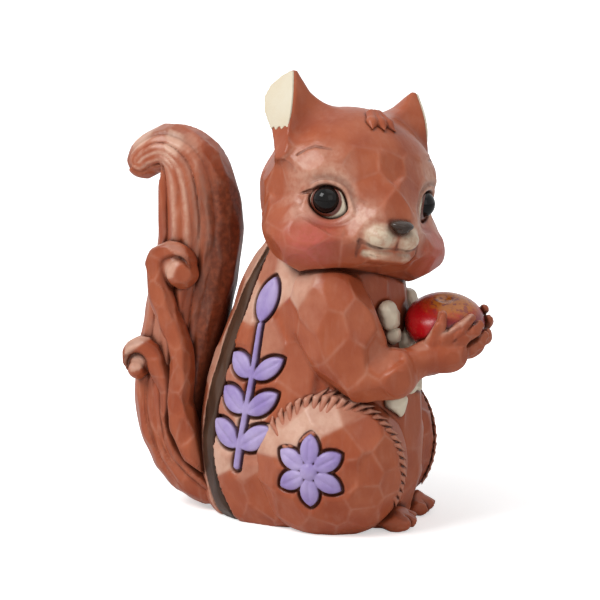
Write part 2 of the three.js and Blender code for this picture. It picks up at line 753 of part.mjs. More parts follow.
const lowerCurl = {
  middle: [1, 0.408],
  stem: [
    [-0.5, 0.061, 0.8],
    [-0.165, 0.095, 1.3],
    [0.174, 0.143, 1.35],
    [0.4, 0.2, 1.2],
    [0.496, 0.26, 1],
    [0.449, 0.306, 1.5],
    [0.449, 0.35, 1.9],
  ],
  coil: [
    [180, 4.1, 2.2],
    [135, 4, 1.9],
    [90, 3.8, 1.5],
    [45, 3.2, 1],
    [0, 2.5, 0.5],
  ],
  knob: [0.18, -0.94],
  knobRadius: LOWER_KNOB,
  out: LOWER_CURL_OUT,
};
seatPair("tail_curl_upper", FINISH.russet, (side, grow) => curl(side, upperCurl, grow));
seatPair("tail_curl_lower", FINISH.russet, (side, grow) => curl(side, lowerCurl, grow));

// Arms: a rounded upper arm against the chest and a forearm that reaches to the fruit
const armAt = (side) => onTorso(side, SHOULDER_TURN, SHOULDER_RAISE, SHOULDER_STANDOFF).at;
const wristOffset = (side) =>
  vec(side * (APPLE_RADIUS - WRIST_TUCK), WRIST_SETBACK, WRIST_RAISE - APPLE_HALF_HEIGHT);
const wristAt = (side) => appleAt.clone().add(wristOffset(side));
seatPair("arm", FINISH.russet, (side, grow) => {
  const half = vec(ARM_HALF_WIDTH, ARM_HALF_DEPTH, ARM_HALF_LENGTH);
  const turn = new THREE.Matrix4().makeRotationX(radians(14));
  const upper = ellipsoid({ at: armAt(side), half, turn, detail: 12 }, grow);
  const elbow = armAt(side).add(vec(0, -ARM_HALF_DEPTH * 0.45, -ARM_HALF_LENGTH * 0.72));
  const fore = elbow.clone().lerp(wristAt(side), 0.45).add(vec(side * FOREARM_BOW, 0, -FOREARM_SAG));
  const radii = [FOREARM_RADIUS, FOREARM_RADIUS, WRIST_RADIUS].map((r) => [r, r]);
  const bend = ellipsoid({ at: elbow, half: cube(FOREARM_RADIUS), detail: 10 }, grow);
  return join([upper, bend, limb({ path: [elbow, fore, wristAt(side)], radii, steps: 6, sides: 10 }, grow)]);
});

// Hands: a palm under the fruit, fingers over its front and a thumb over its near side
function onApple(side, turn, rise, lift) {
  const flat = radians(turn);
  const tilt = radians(rise);
  const reach = APPLE_RADIUS + lift;
  return appleAt
    .clone()
    .add(
      vec(
        side * reach * Math.cos(tilt) * Math.sin(flat),
        -reach * Math.cos(tilt) * Math.cos(flat),
        (APPLE_HALF_HEIGHT + lift) * Math.sin(tilt),
      ),
    );
}
// Each digit as its turns and rises on the fruit, from the palm to the tip
const FINGER_PLACES = [
  [[72, -34], [76, -13], [56, 0], [37, 16]],
  [[66, -38], [51, -12], [35, -4], [24, 4]],
  [[62, -44], [33, -35], [18, -25], [8, -16]],
];
const THUMB_PLACES = [[88, -38], [90, -20], [81, 6], [78, 24]];
const DIGIT_SHARES = [1.3, 1.2, 1, 0.6];
seatPair("hand", FINISH.russet, (side, grow) => {
  const palmHalf = vec(PALM_RADIUS * 0.8, PALM_RADIUS * 1.25, PALM_RADIUS);
  const palm = ellipsoid({ at: onApple(side, 74, -38, PALM_LIFT), half: palmHalf, detail: 10 }, grow);
  const radii = DIGIT_SHARES.map((share) => [FINGER_RADIUS * share, FINGER_RADIUS * share]);
  const digit = (places, across) => {
    const path = places.map(([turn, rise]) => onApple(side, turn, rise, FINGER_RADIUS * 0.6));
    return limb({ path, radii, side: across, steps: 4, sides: 5 }, grow);
  };
  const fingers = FINGER_PLACES.map((places) => digit(places, UP));
  return join([palm, ...fingers, digit(THUMB_PLACES, BACK)]);
});

// Feet: a flat sole with three toes
const TOES = [-1, 0, 1];
seatPair("foot", FINISH.russet, (side, grow) => {
  const toeLine = haunchAt(side).y - HAUNCH_HALF_DEPTH * 0.83;
  const half = FOOT_HEIGHT / 2;
  const footAt = (t) => vec(side * FOOT_OUT, toeLine + t * FOOT_LENGTH, half * (0.8 + 0.2 * t));
  const path = [1, 0.5, 0].map(footAt);
  const radii = [1, 1, 0.8].map((share) => [FOOT_HALF_WIDTH * share, half * share]);
  const sole = limb({ path, radii, steps: 5, sides: 10 }, grow);
  const toes = TOES.map((place) => {
    const reach = place === 0 ? MIDDLE_TOE_REACH : 0;
    const at = vec(side * FOOT_OUT + place * TOE_RADIUS * 1.35, toeLine - reach, TOE_RADIUS);
    return ellipsoid({ at, half: vec(TOE_RADIUS, TOE_RADIUS * 1.7, TOE_RADIUS), detail: 6 }, grow);
  });
  return onShelf(join([sole, ...toes]));
});

// Bib: a pad on the chest with tufts of fur around its edge, each at a share of the bib's height and a turn
const TUFT_PLACES = [
  [0.07, 21],
  [0.22, 8],
  [0.5, 22],
  [0.9, 24],
];
seat("bib", FINISH.cream, (grow) => {
  const rises = [0, 0.33, 0.66, 1].map((t) => THREE.MathUtils.lerp(BIB_BOTTOM, BIB_TOP, t));
  const path = rises.map((height) => onTorso(1, 180, height).at);
  const radii = [0.35, 0.85, 1, 0.55].map((share) => [BIB_HALF_WIDTH * share, BIB_PROUD]);
  const pad = limb({ path, radii, steps: 6, sides: 8 }, grow);
  const tufts = [];
  for (const side of Object.values(SIDES)) {
    for (const [share, turn] of TUFT_PLACES) {
      const height = THREE.MathUtils.lerp(BIB_BOTTOM, BIB_TOP, share);
      const { at } = onTorso(side, 180 - turn, height, BIB_PROUD * 0.3);
      const half = vec(TUFT_RADIUS, TUFT_RADIUS * 0.8, TUFT_RADIUS * 1.15);
      tufts.push(ellipsoid({ at, half, detail: 6 }, grow));
    }
  }
  return join([pad, ...tufts]);
});

// Fringe: a toothed bead on each haunch, from its edge with the flank over the top and down its front.
// `lean` is how far out along the haunch's width the bead runs.
const FRINGE_START = 142;
const FRINGE_END = -30;
const FRINGE_STEPS_PER_TOOTH = 2;
const FRINGE_LEAN_BACK = 0.62;
const FRINGE_LEAN_FRONT = 0.06;
const FRINGE_LEAN_POWER = 1.7;
seatPair("haunch_fringe", FINISH.russet, (side, grow) => {
  const steps = FRINGE_TEETH * FRINGE_STEPS_PER_TOOTH;
  const path = [];
  const radii = [];
  for (let i = 0; i <= steps; i++) {
    const angle = radians(THREE.MathUtils.lerp(FRINGE_START, FRINGE_END, i / steps));
    const lean = THREE.MathUtils.lerp(FRINGE_LEAN_BACK, FRINGE_LEAN_FRONT, (i / steps) ** FRINGE_LEAN_POWER);
    const round = Math.sqrt(1 - lean * lean);
    const out = vec(side * lean, -round * Math.cos(angle), round * Math.sin(angle));
    path.push(haunchAt(side).add(out.multiply(haunchHalf)));
    radii.push([FRINGE_RADIUS, FRINGE_RADIUS + (i % FRINGE_STEPS_PER_TOOTH ? FRINGE_TOOTH : 0)]);
  }
  return onShelf(limb({ path, radii, steps, sides: 4 }, grow));
});

// Sprig: a stem on the flank with leaves in pairs and one at the tip
const SPRIG_LOW = 0.2;
const SPRIG_HIGH = 0.66;
const SPRIG_TURN = 60;
seatPair("flank_sprig", FINISH.lavender, (side, grow) => {
  const place = (share) => onTorso(side, SPRIG_TURN, share * TORSO_HEIGHT);
  const path = [0, 0.5, 1].map((t) => place(THREE.MathUtils.lerp(SPRIG_LOW, SPRIG_HIGH, t)).at);
  const { out } = place((SPRIG_LOW + SPRIG_HIGH) / 2);
  const beside = out.clone().cross(UP);
  const radii = path.map(() => [SPRIG_STEM_RADIUS, RELIEF_PROUD]);
  const pieces = [limb({ path, radii, side: beside, steps: 6, sides: 6 }, grow)];
  const half = vec(SPRIG_LEAF_WIDTH / 2, RELIEF_PROUD, SPRIG_LEAF_LENGTH / 2);
  for (let i = 0; i <= SPRIG_PAIRS; i++) {
    const stemShare = (i + 0.4) / (SPRIG_PAIRS + 0.4);
    const { at, out: normal } = place(THREE.MathUtils.lerp(SPRIG_LOW, SPRIG_HIGH, stemShare));
    const level = normal.clone().cross(UP).normalize();
    const rise = level.clone().cross(normal);
    for (const lean of i === SPRIG_PAIRS ? [0] : [-1, 1]) {
      const along = rise.clone().addScaledVector(level, lean * 1.1).normalize();
      const across = normal.clone().cross(along).normalize();
      const middle = at.clone().addScaledVector(along, SPRIG_LEAF_LENGTH * 0.42);
      pieces.push(ellipsoid({ at: middle, half, turn: facing(across, normal), detail: 6 }, grow));
    }
  }
  return join(pieces);
});

// Flower: petals round a boss on the haunch's outer face
const FLOWER_BACK = 0.05;
seatPair("haunch_flower", FINISH.lavender, (side, grow) => {
  const centre = haunchAt(side);
  const onHaunch = (y, z) => {
    const round = Math.sqrt(Math.max(0.05, 1 - (y / HAUNCH_HALF_DEPTH) ** 2 - (z / HAUNCH_HALF_HEIGHT) ** 2));
    return centre.clone().add(vec(side * HAUNCH_HALF_WIDTH * round, y, z));
  };
  const middleY = FLOWER_BACK * HAUNCH_HALF_DEPTH;
  const bossHalf = vec(RELIEF_PROUD, PETAL_WIDTH * 0.5, PETAL_WIDTH * 0.5);
  const pieces = [ellipsoid({ at: onHaunch(middleY, 0), half: bossHalf, detail: 6 }, grow)];
  for (let i = 0; i < PETALS; i++) {
    const angle = (2 * Math.PI * i) / PETALS;
    const reach = PETAL_LENGTH * 0.62;
    const at = onHaunch(middleY + reach * Math.cos(angle), reach * Math.sin(angle));
    const half = vec(RELIEF_PROUD, PETAL_LENGTH / 2, PETAL_WIDTH / 2);
    const turn = new THREE.Matrix4().makeRotationX(angle);
    pieces.push(ellipsoid({ at, half, turn, detail: 6 }, grow));
  }
  return join(pieces);
});

export default figurine;
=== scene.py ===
"""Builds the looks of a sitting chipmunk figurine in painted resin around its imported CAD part."""

import math

import bpy
import numpy as np
from bpy.props import FloatProperty, FloatVectorProperty, IntProperty, PointerProperty
from mathutils import Matrix, Vector


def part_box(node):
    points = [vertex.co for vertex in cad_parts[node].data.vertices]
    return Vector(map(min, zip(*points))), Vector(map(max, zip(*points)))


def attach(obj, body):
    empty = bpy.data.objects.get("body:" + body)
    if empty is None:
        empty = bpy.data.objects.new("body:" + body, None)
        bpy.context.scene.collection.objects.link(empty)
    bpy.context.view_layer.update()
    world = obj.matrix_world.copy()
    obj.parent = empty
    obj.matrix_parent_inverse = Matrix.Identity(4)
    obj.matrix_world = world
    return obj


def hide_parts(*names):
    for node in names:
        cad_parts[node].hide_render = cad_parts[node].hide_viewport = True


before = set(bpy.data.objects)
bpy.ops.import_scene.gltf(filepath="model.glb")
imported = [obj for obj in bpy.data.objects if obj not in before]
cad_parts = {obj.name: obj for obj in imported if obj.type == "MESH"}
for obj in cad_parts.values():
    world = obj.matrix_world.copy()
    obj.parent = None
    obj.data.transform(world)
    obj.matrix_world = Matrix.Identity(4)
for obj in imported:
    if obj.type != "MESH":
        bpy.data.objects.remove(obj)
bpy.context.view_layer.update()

bl_info = {
    "name": "Chipmunk Figurine",
    "version": (1, 0, 0),
    "blender": (4, 5, 0),
    "location": "View3D > Sidebar > Figurine",
    "description": "Carves and paints a sitting chipmunk figurine that holds an apple",
    "category": "Add Mesh",
}

MM = 0.001
SIDES = {"right": -1, "left": 1}

# Sizes that the frame gives, in metres
_, TORSO_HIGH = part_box("torso")
APPLE_LOW, APPLE_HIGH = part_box("apple")


def centre_of(node):
    """Middle of a CAD node's box, in millimetres."""
    low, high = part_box(node)
    return np.array((low + high) / 2) / MM


def size_property(name, description, metres):
    """A length."""
    return FloatProperty(name=name, description=description, default=metres, unit="LENGTH")


def half_size_property(name, description, metres):
    """Half of a box across, front to back and upwards."""
    return FloatVectorProperty(name=name, description=description, default=metres, unit="LENGTH")


def angle_property(name, description, degrees):
    """An angle that is written in degrees."""
    return FloatProperty(name=name, description=description, default=math.radians(degrees), subtype="ANGLE")


class FigurineSizes(bpy.types.PropertyGroup):
    """Main sizes of the figurine."""

    body_height: size_property(
        "Body height", "From the base to the top of the body, inside the head", TORSO_HIGH.z
    )
    body_half_width: size_property("Body half width", "Half the body across, at its widest", TORSO_HIGH.x)
    body_half_depth: size_property("Body half depth", "Half the body front to back, at its deepest", 0.023)
    haunch_half: half_size_property(
        "Haunch half size", "Half of each haunch across, front to back and upwards", (0.011, 0.0154, 0.0158)
    )
    head_half: half_size_property(
        "Head half size", "Half of the skull across, front to back and upwards", (0.0163, 0.0152, 0.015)
    )
    head_turn: angle_property("Head turn", "How far the head looks to its right", -42)
    head_tilt: angle_property("Head tilt", "How far the head leans to one side", 10)
    ear_length: size_property("Ear length", "From the root of an ear to its tip", 0.0122)
    eye_radius: size_property("Eye radius", "Radius of the glossy ball of each eye", 0.00275)
    apple_radius: size_property("Apple radius", "Half the apple across", (APPLE_HIGH.x - APPLE_LOW.x) / 2)
    tail_height: size_property("Tail height", "From the base to the top of the tail's centre line", 0.0733)
    tail_radius: size_property("Tail radius", "Half the tail across", 0.008)
    mark_spacing: size_property("Knife mark spacing", "Least distance between two whittled facets", 0.0048)
    mark_depth: size_property("Knife mark depth", "Most that a whittled facet moves the surface", 0.00045)
    mesh_step: size_property("Mesh step", "Size of the cells that the surfaces are made of", 0.00034)
    carving_seed: IntProperty(
        name="Carving seed",
        description="Start of the random draws that place the knife marks",
        default=7,
        min=0,
    )


def colour_property(name, description, rgb):
    """A colour that is written as it looks on screen, in shares of 255."""
    linear = [srgb_to_linear(share / 255) for share in rgb]
    return FloatVectorProperty(
        name=name, description=description, default=linear, subtype="COLOR", min=0, max=1
    )


def srgb_to_linear(share):
    """One screen colour share as a light share."""
    if share <= 0.04045:
        return share / 12.92
    return ((share + 0.055) / 1.055) ** 2.4


class FigurineColours(bpy.types.PropertyGroup):
    """Colours of the figurine's paints and of the stage."""

    russet: colour_property("Russet", "Main coat", (152, 70, 40))
    russet_light: colour_property("Russet light", "Rubbed parts of the main coat", (170, 90, 58))
    # Russet pale also lays painted highlight on the facets that face the key lamp
    russet_pale: colour_property("Russet pale", "Dry brushed ridges and frosted patches", (212, 170, 148))
    # Umber lays the wash of the carving, and also painted shade in corners, under parts and between them
    umber: colour_property("Umber", "Wash that sits in the carved lines", (66, 28, 16))
    blush: colour_property("Blush", "Rose on the cheeks", (192, 92, 86))
    band: colour_property("Band", "Dark stripes on the back", (46, 30, 21))
    # Band light also lays painted highlight on the stripes' facets that face the key lamp
    band_light: colour_property("Band light", "Rubbed parts of the stripes", (80, 56, 42))
    ivory: colour_property("Ivory", "Muzzle, bib and ear linings", (218, 204, 178))
    # Ivory light also lays painted highlight on the bib's facets that face the key lamp
    ivory_light: colour_property("Ivory light", "Bright parts of the ivory", (222, 213, 192))
    lavender: colour_property("Lavender", "Leaf sprigs and flowers", (148, 128, 184))
    lavender_light: colour_property("Lavender light", "Bright parts of the lavender", (180, 164, 206))
    eye_black: colour_property("Eye black", "Ball of the eye", (10, 9, 10))
    iris: colour_property("Iris", "Ring around the ball of the eye", (104, 48, 32))
    nose: colour_property("Nose", "Nose", (58, 44, 36))
    apple_red: colour_property("Apple red", "Ripe side of the apple", (176, 16, 24))
    apple_ochre: colour_property("Apple ochre", "Top of the apple", (186, 108, 38))
    apple_plum: colour_property("Apple plum", "Shaded side of the apple", (132, 46, 54))
    steel: colour_property("Steel", "Dowels inside the figurine", (150, 150, 152))
    floor: colour_property("Floor", "Ground under the figurine", (240, 240, 240))


# Helpers; the shapes among them take points, in millimetres, and give how far each point lies outside
def length(vectors):
    """Length of each row."""
    return np.sqrt(np.einsum("ij,ij->i", vectors, vectors))


def unit(vector):
    """The same direction, one long."""
    vector = np.asarray(vector, float)
    return vector / np.linalg.norm(vector)


def fade(value, start, end):
    """Smooth step from 0 at start to 1 at end."""
    share = np.clip((value - start) / (end - start), 0, 1)
    return share * share * (3 - 2 * share)


def within(gap, start, end):
    """1 up to the start of a gap, smoothly down to 0 at its end."""
    return 1 - fade(gap, start, end)


def bell(value, width):
    """1 at nought, smoothly down to 0 over about twice that width on both sides."""
    return np.exp(-((value / width) ** 2))


def mirrored(place, side):
    """A place or direction of the left side, brought to the given side."""
    return np.multiply(place, (side, 1, 1))


def angle_to(ways, toward):
    """Angle between each direction and another one."""
    return np.arccos(np.clip(ways @ unit(toward), -1, 1))


def soft_join(a, b, blend):
    """Union of two shapes with a fillet."""
    overlap = np.maximum(blend - np.abs(a - b), 0) / blend
    return np.minimum(a, b) - overlap * overlap * blend / 4


def soft_cut(a, b, blend):
    """Shape a without shape b, with a rounded edge."""
    return -soft_join(-a, b, blend)


def soft_overlap(a, b, blend):
    """What two shapes share, with a rounded edge."""
    return -soft_join(-a, -b, blend)


def ellipsoid(points, centre, half, axes=None):
    """An ellipsoid; the columns of axes are its own directions."""
    local = points - centre
    if axes is not None:
        local = local @ axes
    half = np.asarray(half, float)
    near = length(local / half)
    steep = length(local / half**2)
    return near * (near - 1) / np.maximum(steep, 1e-6)


def ellipse(across, along, half_across, half_along):
    """A flat ellipse whose half sizes may differ from point to point."""
    near = np.hypot(across / half_across, along / half_along)
    steep = np.hypot(across / half_across**2, along / half_along**2)
    return near * (near - 1) / np.maximum(steep, 1e-6)


def stroke(points, path, radii, blend=0):
    """A round rod along a path, with a radius at each of its points."""
    best = None
    for a, b, start, end in zip(path[:-1], path[1:], radii[:-1], radii[1:]):
        run = np.subtract(b, a)
        share = np.clip((points - a) @ run / (run @ run), 0, 1)
        gap = length(points - a - share[:, None] * run) - (start + (end - start) * share)
        if best is None:
            best = gap
        else:
            best = soft_join(best, gap, blend) if blend else np.minimum(best, gap)
    return best


def leaf(along, across, half_length, half_width):
    """A flat leaf with a point at each end."""
    radius = (half_length**2 + half_width**2) / (2 * half_width)
    return np.hypot(along, np.abs(across) + radius - half_width) - radius


def dome(gap, height, ease):
    """Rise of a rounded relief inside its outline."""
    return height * (1 - np.exp(np.minimum(gap, 0) / ease))


def inlay(skin, rise, depth, outline, blend):
    """A relief that rises above a skin, reaches down into it and keeps to an outline."""
    return soft_overlap(np.maximum(skin - rise, -skin - depth), outline, blend)


def curve_through(stations, steps):
    """A smooth curve through rows of numbers, with that many steps between two rows."""
    rows = np.asarray(stations, float)
    last = len(rows) - 1
    shares = np.linspace(0, 1, steps, endpoint=False)[:, None]
    result = []
    for k in range(last):
        before, here, there, after = rows[max(k - 1, 0)], rows[k], rows[k + 1], rows[min(k + 2, last)]
        result.append(
            here
            + shares * (there - before) / 2
            + shares**2 * (2 * before - 5 * here + 4 * there - after) / 2
            + shares**3 * (3 * here - before - 3 * there + after) / 2
        )
    return np.vstack(result + [rows[-1:]])


def along_curve(flat, curve):
    """For flat points, the nearest place on a flat curve: share of the way, distance and side."""
    starts, runs = curve[:-1], np.diff(curve, axis=0)
    lengths = length(runs)
    travelled = np.concatenate([[0], np.cumsum(lengths)])
    best = np.full(len(flat), 1e9)
    place = np.zeros(len(flat))
    side = np.zeros(len(flat))
    for k, (start, run) in enumerate(zip(starts, runs)):
        offset = flat - start
        share = np.clip(offset @ run / (run @ run), 0, 1)
        gap = length(offset - share[:, None] * run)
        nearer = gap < best
        best[nearer] = gap[nearer]
        place[nearer] = (travelled[k] + share * lengths[k])[nearer]
        turn = run[0] * offset[:, 1] - run[1] * offset[:, 0]
        side[nearer] = np.sign(turn[nearer])
    return place / travelled[-1], best, side


class Form:
    """A carved shape: its distance function and the box it lies in."""

    def __init__(self, field, low, high):
        self.field = field
        self.low = np.asarray(low, float)
        self.high = np.asarray(high, float)


# Proportions of the body: share of its height, then shares of its half width and half depth; lengths from
# here to the finished mesh are in millimetres
BODY_RINGS = [
    (0, 0.77, 0.83),
    (0.065, 0.91, 0.935),
    (0.19, 1, 1),
    (0.355, 1, 0.98),
    (0.52, 0.94, 0.89),
    (0.68, 0.85, 0.78),
    (0.81, 0.735, 0.67),
    (0.92, 0.59, 0.52),
    (1, 0.42, 0.36),
]
BODY_SET_BACK = 3.4
BODY_LEAN = 5.4
HAUNCH_CENTRE = (10.5, -4.2, 14)

# Head: where it sits, and the swellings of its skull as direction, height and spread
HEAD_CENTRE = np.array((0, -5, 68.0))
HEAD_BACK_SHARE = 1.16
HEAD_LOW_SHARE = 1.2
CHEEK_SWELL = ((0.74, -0.42, -0.53), 7.4, 0.56)
CHEEK_FULL = -0.55
CHEEK_TOP = -0.1
MUZZLE_SWELL = ((0, -0.93, -0.37), 6.4, 0.42)
BROW_SWELL = ((0.86, -0.44, 0.25), 1.1, 0.45)
TEMPLE_HOLLOW = ((0.82, 0.5, 0.3), -1.3, 0.3)
NAPE_SWELL = ((0.87, 0.5, -0.2), 0.8, 0.4)

# Face: the eyes as directions on the skull, the rest as places in the head's own directions
EYE_WAYS = {-1: (-0.7, -0.685, -0.185), 1: (0.7, -0.685, -0.12)}
EYE_FACING = (0.6, -0.79, -0.1)
EYE_SINK = {-1: 0.9, 1: 1.2}
EYE_WHITE_SHIFT = {-1: (-0.62, -0.45), 1: (0.2, -0.45)}
EYE_WHITE_SINK = 0.6
EYE_WHITE_HALF = (3.8, 1.0, 3.0)
EYE_SLANT = math.radians(14)
EYE_LID_REACH = 3.4
SOCKET_LIFT = 2.1
SOCKET_HALF = (5.2, 3.2, 4.5)
LIP_AT = (2.9, -18.6, -8.3)
LIP_HALF = (2.7, 3.0, 2.2)
CHIN_AT = (0, -17.2, -12.0)
CHIN_HALF = (5.0, 2.8, 1.5)
NOSE_AT = (0, -21.4, -5.9)
NOSE_TOP_HALF = (2.5, 1.75, 1.05)
NOSE_TIP_HALF = (1.2, 1.6, 1.05)
NOSTRIL_AT = (1.25, -1.45, -0.55)
NOSTRIL_HALF = (0.6, 0.5, 0.3)
FORELOCK_LENGTH = 4.8
FORELOCK_RADII = (1.2, 1.1, 0.18)

# Lines of the face: each a row of directions on the skull, or of places for the mouth, with its radii
LINE_LIFT = 0.1
LASH_LINE = ((0.86, -0.56, -0.11), (0.93, -0.42, -0.17))
LASH_RADII = (0.42, 0.12)
BROW_LINE = ((0.9, -0.286, 0.26), (0.85, -0.36, 0.35), (0.786, -0.423, 0.395), (0.67, -0.587, 0.4))
BROW_RADII = (0.12, 0.25, 0.32, 0.12)
MOUTH_TOP = (0, -21.9, -7.4)
MOUTH_MIDDLE = (0, -20.9, -10.4)
MOUTH_BENDS = ((2.5, -20.5, -10.9), (5, -19.3, -10.7), (6.8, -18.2, -9.7))
MOUTH_RADII = (0.4, 0.45, 0.5, 0.5)
MOUTH_FOLD = ((6.9, -18.2, -9.9), (6.5, -17.2, -11.6), (5.9, -16.2, -13.2))
FOLD_RADII = (0.35, 0.3, 0.1)

# Ear: where its tip stands, its middle and half length as shares of its length below the tip, how its front
# ridge leans, and how far its two faces reach from the ridge, as rows of share, outer face and inner face
EAR_TIP = (14.6, 2.9, 20.2)
LEFT_EAR_DROP = 1.2
EAR_MIDDLE = 0.69
EAR_HALF = 0.71
EAR_RIDGE = unit((0.12, 0.32, 0.94))
EAR_BOW = (0.4, 1.3, 0)
EAR_OUTER_WAY = unit((-0.2, 0.98, 0))
EAR_INNER_WAY = unit((0.97, 0.24, 0))
EAR_REACH = [
    (-0.02, 0.6, 0.9),
    (0.1, 3.4, 2.2),
    (0.3, 6.6, 4.4),
    (0.5, 8.1, 8),
    (0.75, 7.6, 13),
    (1, 5.3, 13),
    (1.2, 3.2, 8),
    (1.4, 1.4, 3.5),
]

# Tail: rows of setback, rise, thickness and width, as shares of its reach, height and radius
TAIL_ROOT = 25.8
TAIL_REACH = 11.5
TAIL_STATIONS = [
    (-0.63, 0.055, 0.85, 0.5),
    (-0.15, 0.085, 0.98, 0.75),
    (0.3, 0.153, 1, 0.9),
    (0.56, 0.277, 1, 0.97),
    (0.45, 0.425, 1, 1.05),
    (0.25, 0.573, 1, 1.09),
    (0.08, 0.712, 1, 1.06),
    (0.05, 0.83, 1, 1.08),
    (0.2, 0.95, 0.95, 0.9),
    (0.56, 1, 0.88, 0.66),
    (0.88, 0.988, 0.78, 0.55),
    (1.05, 0.968, 0.66, 0.5),
]

# Valleys between the locks of the tail: place across it, from its outer edge, and depth
TAIL_LOCKS = ((0.22, 1.2), (0.395, 0.9), (0.525, 0.8), (0.64, 1.4), (0.77, 0.7))

# Curls: middle of the coil, rows of the stem and its half width, rows of the coil as angle, reach and
# half width, and the knob that the coil wraps, as set back, rise and radius from the middle
CURL_THICKNESS = 3.4
CURL_WEB = 2.2
CURLS = {
    "upper": {
        "centre": (0.34, 0.69),
        "stem": [
            (-0.226, 0.128, 0.6),
            (-0.05, 0.172, 2.1),
            (0.11, 0.237, 2.7),
            (0.21, 0.311, 2.4),
            (0.174, 0.378, 2.25),
            (0.174, 0.446, 2.15),
            (0.287, 0.51, 2.15),
            (0.487, 0.59, 2.4),
        ],
        "coil": [(-20, 3.2, 2.1), (45, 3.3, 1.75), (90, 3.4, 1.5), (135, 4.2, 1.0), (170, 4.6, 0.6)],
        "knob": (-2.06, -1.08, 3.3),
        "out": 7.4,
    },
    "lower": {
        "centre": (1.0, 0.408),
        "stem": [
            (-0.5, 0.061, 0.8),
            (-0.165, 0.095, 1.3),
            (0.174, 0.143, 1.35),
            (0.4, 0.2, 1.2),
            (0.496, 0.26, 1.0),
            (0.449, 0.306, 1.5),
            (0.449, 0.35, 1.9),
        ],
        "coil": [
            (180, 4.1, 2.2),
            (135, 4.0, 1.9),
            (90, 3.8, 1.5),
            (45, 3.2, 1.0),
            (0, 2.5, 0.5),
            (-25, 2.4, 0.3),
        ],
        "knob": (0.18, -0.94, 2.1),
        "out": 5.8,
    },
}

# Apple: its height, how far it sits from its CAD node's middle, its dimples as end, depth and width,
# and its axes
APPLE_HALF_HEIGHT = 5.4
APPLE_SHIFT = (0, 0.5, -0.1)
APPLE_DIMPLES = ((1, 0.75, 1.6), (-1, 1.2, 2.2))
APPLE_AXES = np.array(Matrix.Rotation(math.radians(-14), 3, "Y") @ Matrix.Rotation(math.radians(5), 3, "X"))

# Arm: its shoulder as degrees from the spine and height, its upper part, and its joints from there
# to the apple
SHOULDER_TURN = 115
SHOULDER_HEIGHT = 41
SHOULDER_SET_FORWARD = 0.6
LEFT_ARM_SHIFT = (-1.0, 1.6, -2.2)
UPPER_ARM_HALF = (6, 8, 13.4)
UPPER_ARM_LEAN = math.radians(-24)
ELBOW_FROM_SHOULDER = (0, -4.5, -9.3)
WRIST_FROM_APPLE = (8.3, 1.9, -5.9)
FOREARM_RADII = (4.3, 4.2, 2.9)
FOREARM_BOW = (2, 0, -0.7)
FOREARM_TUCK = 0.6
CUFF_LENGTH = 5

# Hand: half height of the egg that it closes around, its palm, and each digit as turns and rises on
# that egg, in degrees, from the palm to the tip
GRIP_HALF_HEIGHT = 6.4
PALM_PLACE = (78, -42)
PALM_LIFT = 1.2
PALM_HALF = (3.0, 5.0, 3.7)
FINGER_RADII = (1.6, 1.35, 1.2, 0.8)
THUMB_RADII = (1.8, 1.5, 1.15, 0.75)
FINGER_PLACES = (
    ((72, -34), (76, -13), (56, 0), (37, 16)),
    ((66, -38), (51, -12), (35, -4), (24, 4)),
    ((62, -44), (33, -35), (18, -25), (8, -16)),
)
THUMB_PLACES = ((88, -38), (90, -20), (81, 6), (78, 24))

# Foot: how far it stands from the middle, where its toes start, its length and half height, and its toes
FOOT_OUT = 6.5
FOOT_SPREAD = 1.5
FOOT_LENGTH = 16
FOOT_HALF_HEIGHT = 2.8
TOE_LINE = -16.98
TOE_SPACING = 2.45
TOE_HALF = (1.45, 3.2, 1.75)
MIDDLE_TOE_REACH = 0.6

# Bib: its pad, and rows of its tufts as height, degrees from the front and half sizes; the low ones sit
# further round on the left
BIB_LOW, BIB_HIGH = 23, 45
BIB_HALF_WIDTH = 7
BIB_HALF_HEIGHT = 7
BIB_LEFT_TURN = 22
BIB_TIP = ((28, 26.2), (25, 23.6))
BIB_LOW_TUFTS = (
    (29.2, 14, (1.9, 1.7, 2.0)),
    (31.5, 22, (2.2, 1.8, 2.4)),
)
BIB_TUFTS = (
    (34, 22, (2.2, 1.8, 2.4)),
    (37.5, 12, (1.6, 1.5, 2.0)),
    (39.1, 25, (1.7, 1.6, 1.7)),
    (42.4, 27, (2.6, 2.0, 2.2)),
    (44.0, 29, (2.5, 1.8, 1.9)),
)

# Stripe, sprig, flower and fringe: degrees from the spine, counts and sizes; stripes, sprigs and flowers lie
# in shallow beds of the skin
STRIPE_TURN = 37
STRIPE_SPLAY = 9
STRIPE_SPLAY_TOP = 0.27
STRIPE_HALF_WIDTH = 2.4
STRIPE_TOP_LOSS = 1.5
STRIPE_BED = 0.8
SPRIG_TURN = 63
SPRIG_LOW, SPRIG_HIGH = 0.2, 0.66
SPRIG_PAIRS = 3
SPRIG_BED = 0.9
SPRIG_DEPTH = 1.4
STEM_POINTS = 9
STEM_SWAY = 1.2
LEAF_LONG, LEAF_WIDE = 8.4, 4.7
LEAF_LOSS = (0.5, 0.3)
LEAF_LEAN = 0.95
TOP_LEAF = (9, 5)
PETALS = 6
PETAL_OUT = 4.2
PETAL_HALF = (3.1, 1.95)
PETAL_VEIN_HALF = 1.9
FLOWER_SET_BACK = 0.77
FLOWER_BOSS = 1.8
FLOWER_INNER = 10
FLOWER_BED = 0.8
FLOWER_DEPTH = 1.3
FRINGE_TEETH = 24
FRINGE_START, FRINGE_SWEEP = 148, 178
FRINGE_LEANS = ((0, 0.3, 0.75, 1), (0.64, 0.52, 0.14, 0.02))


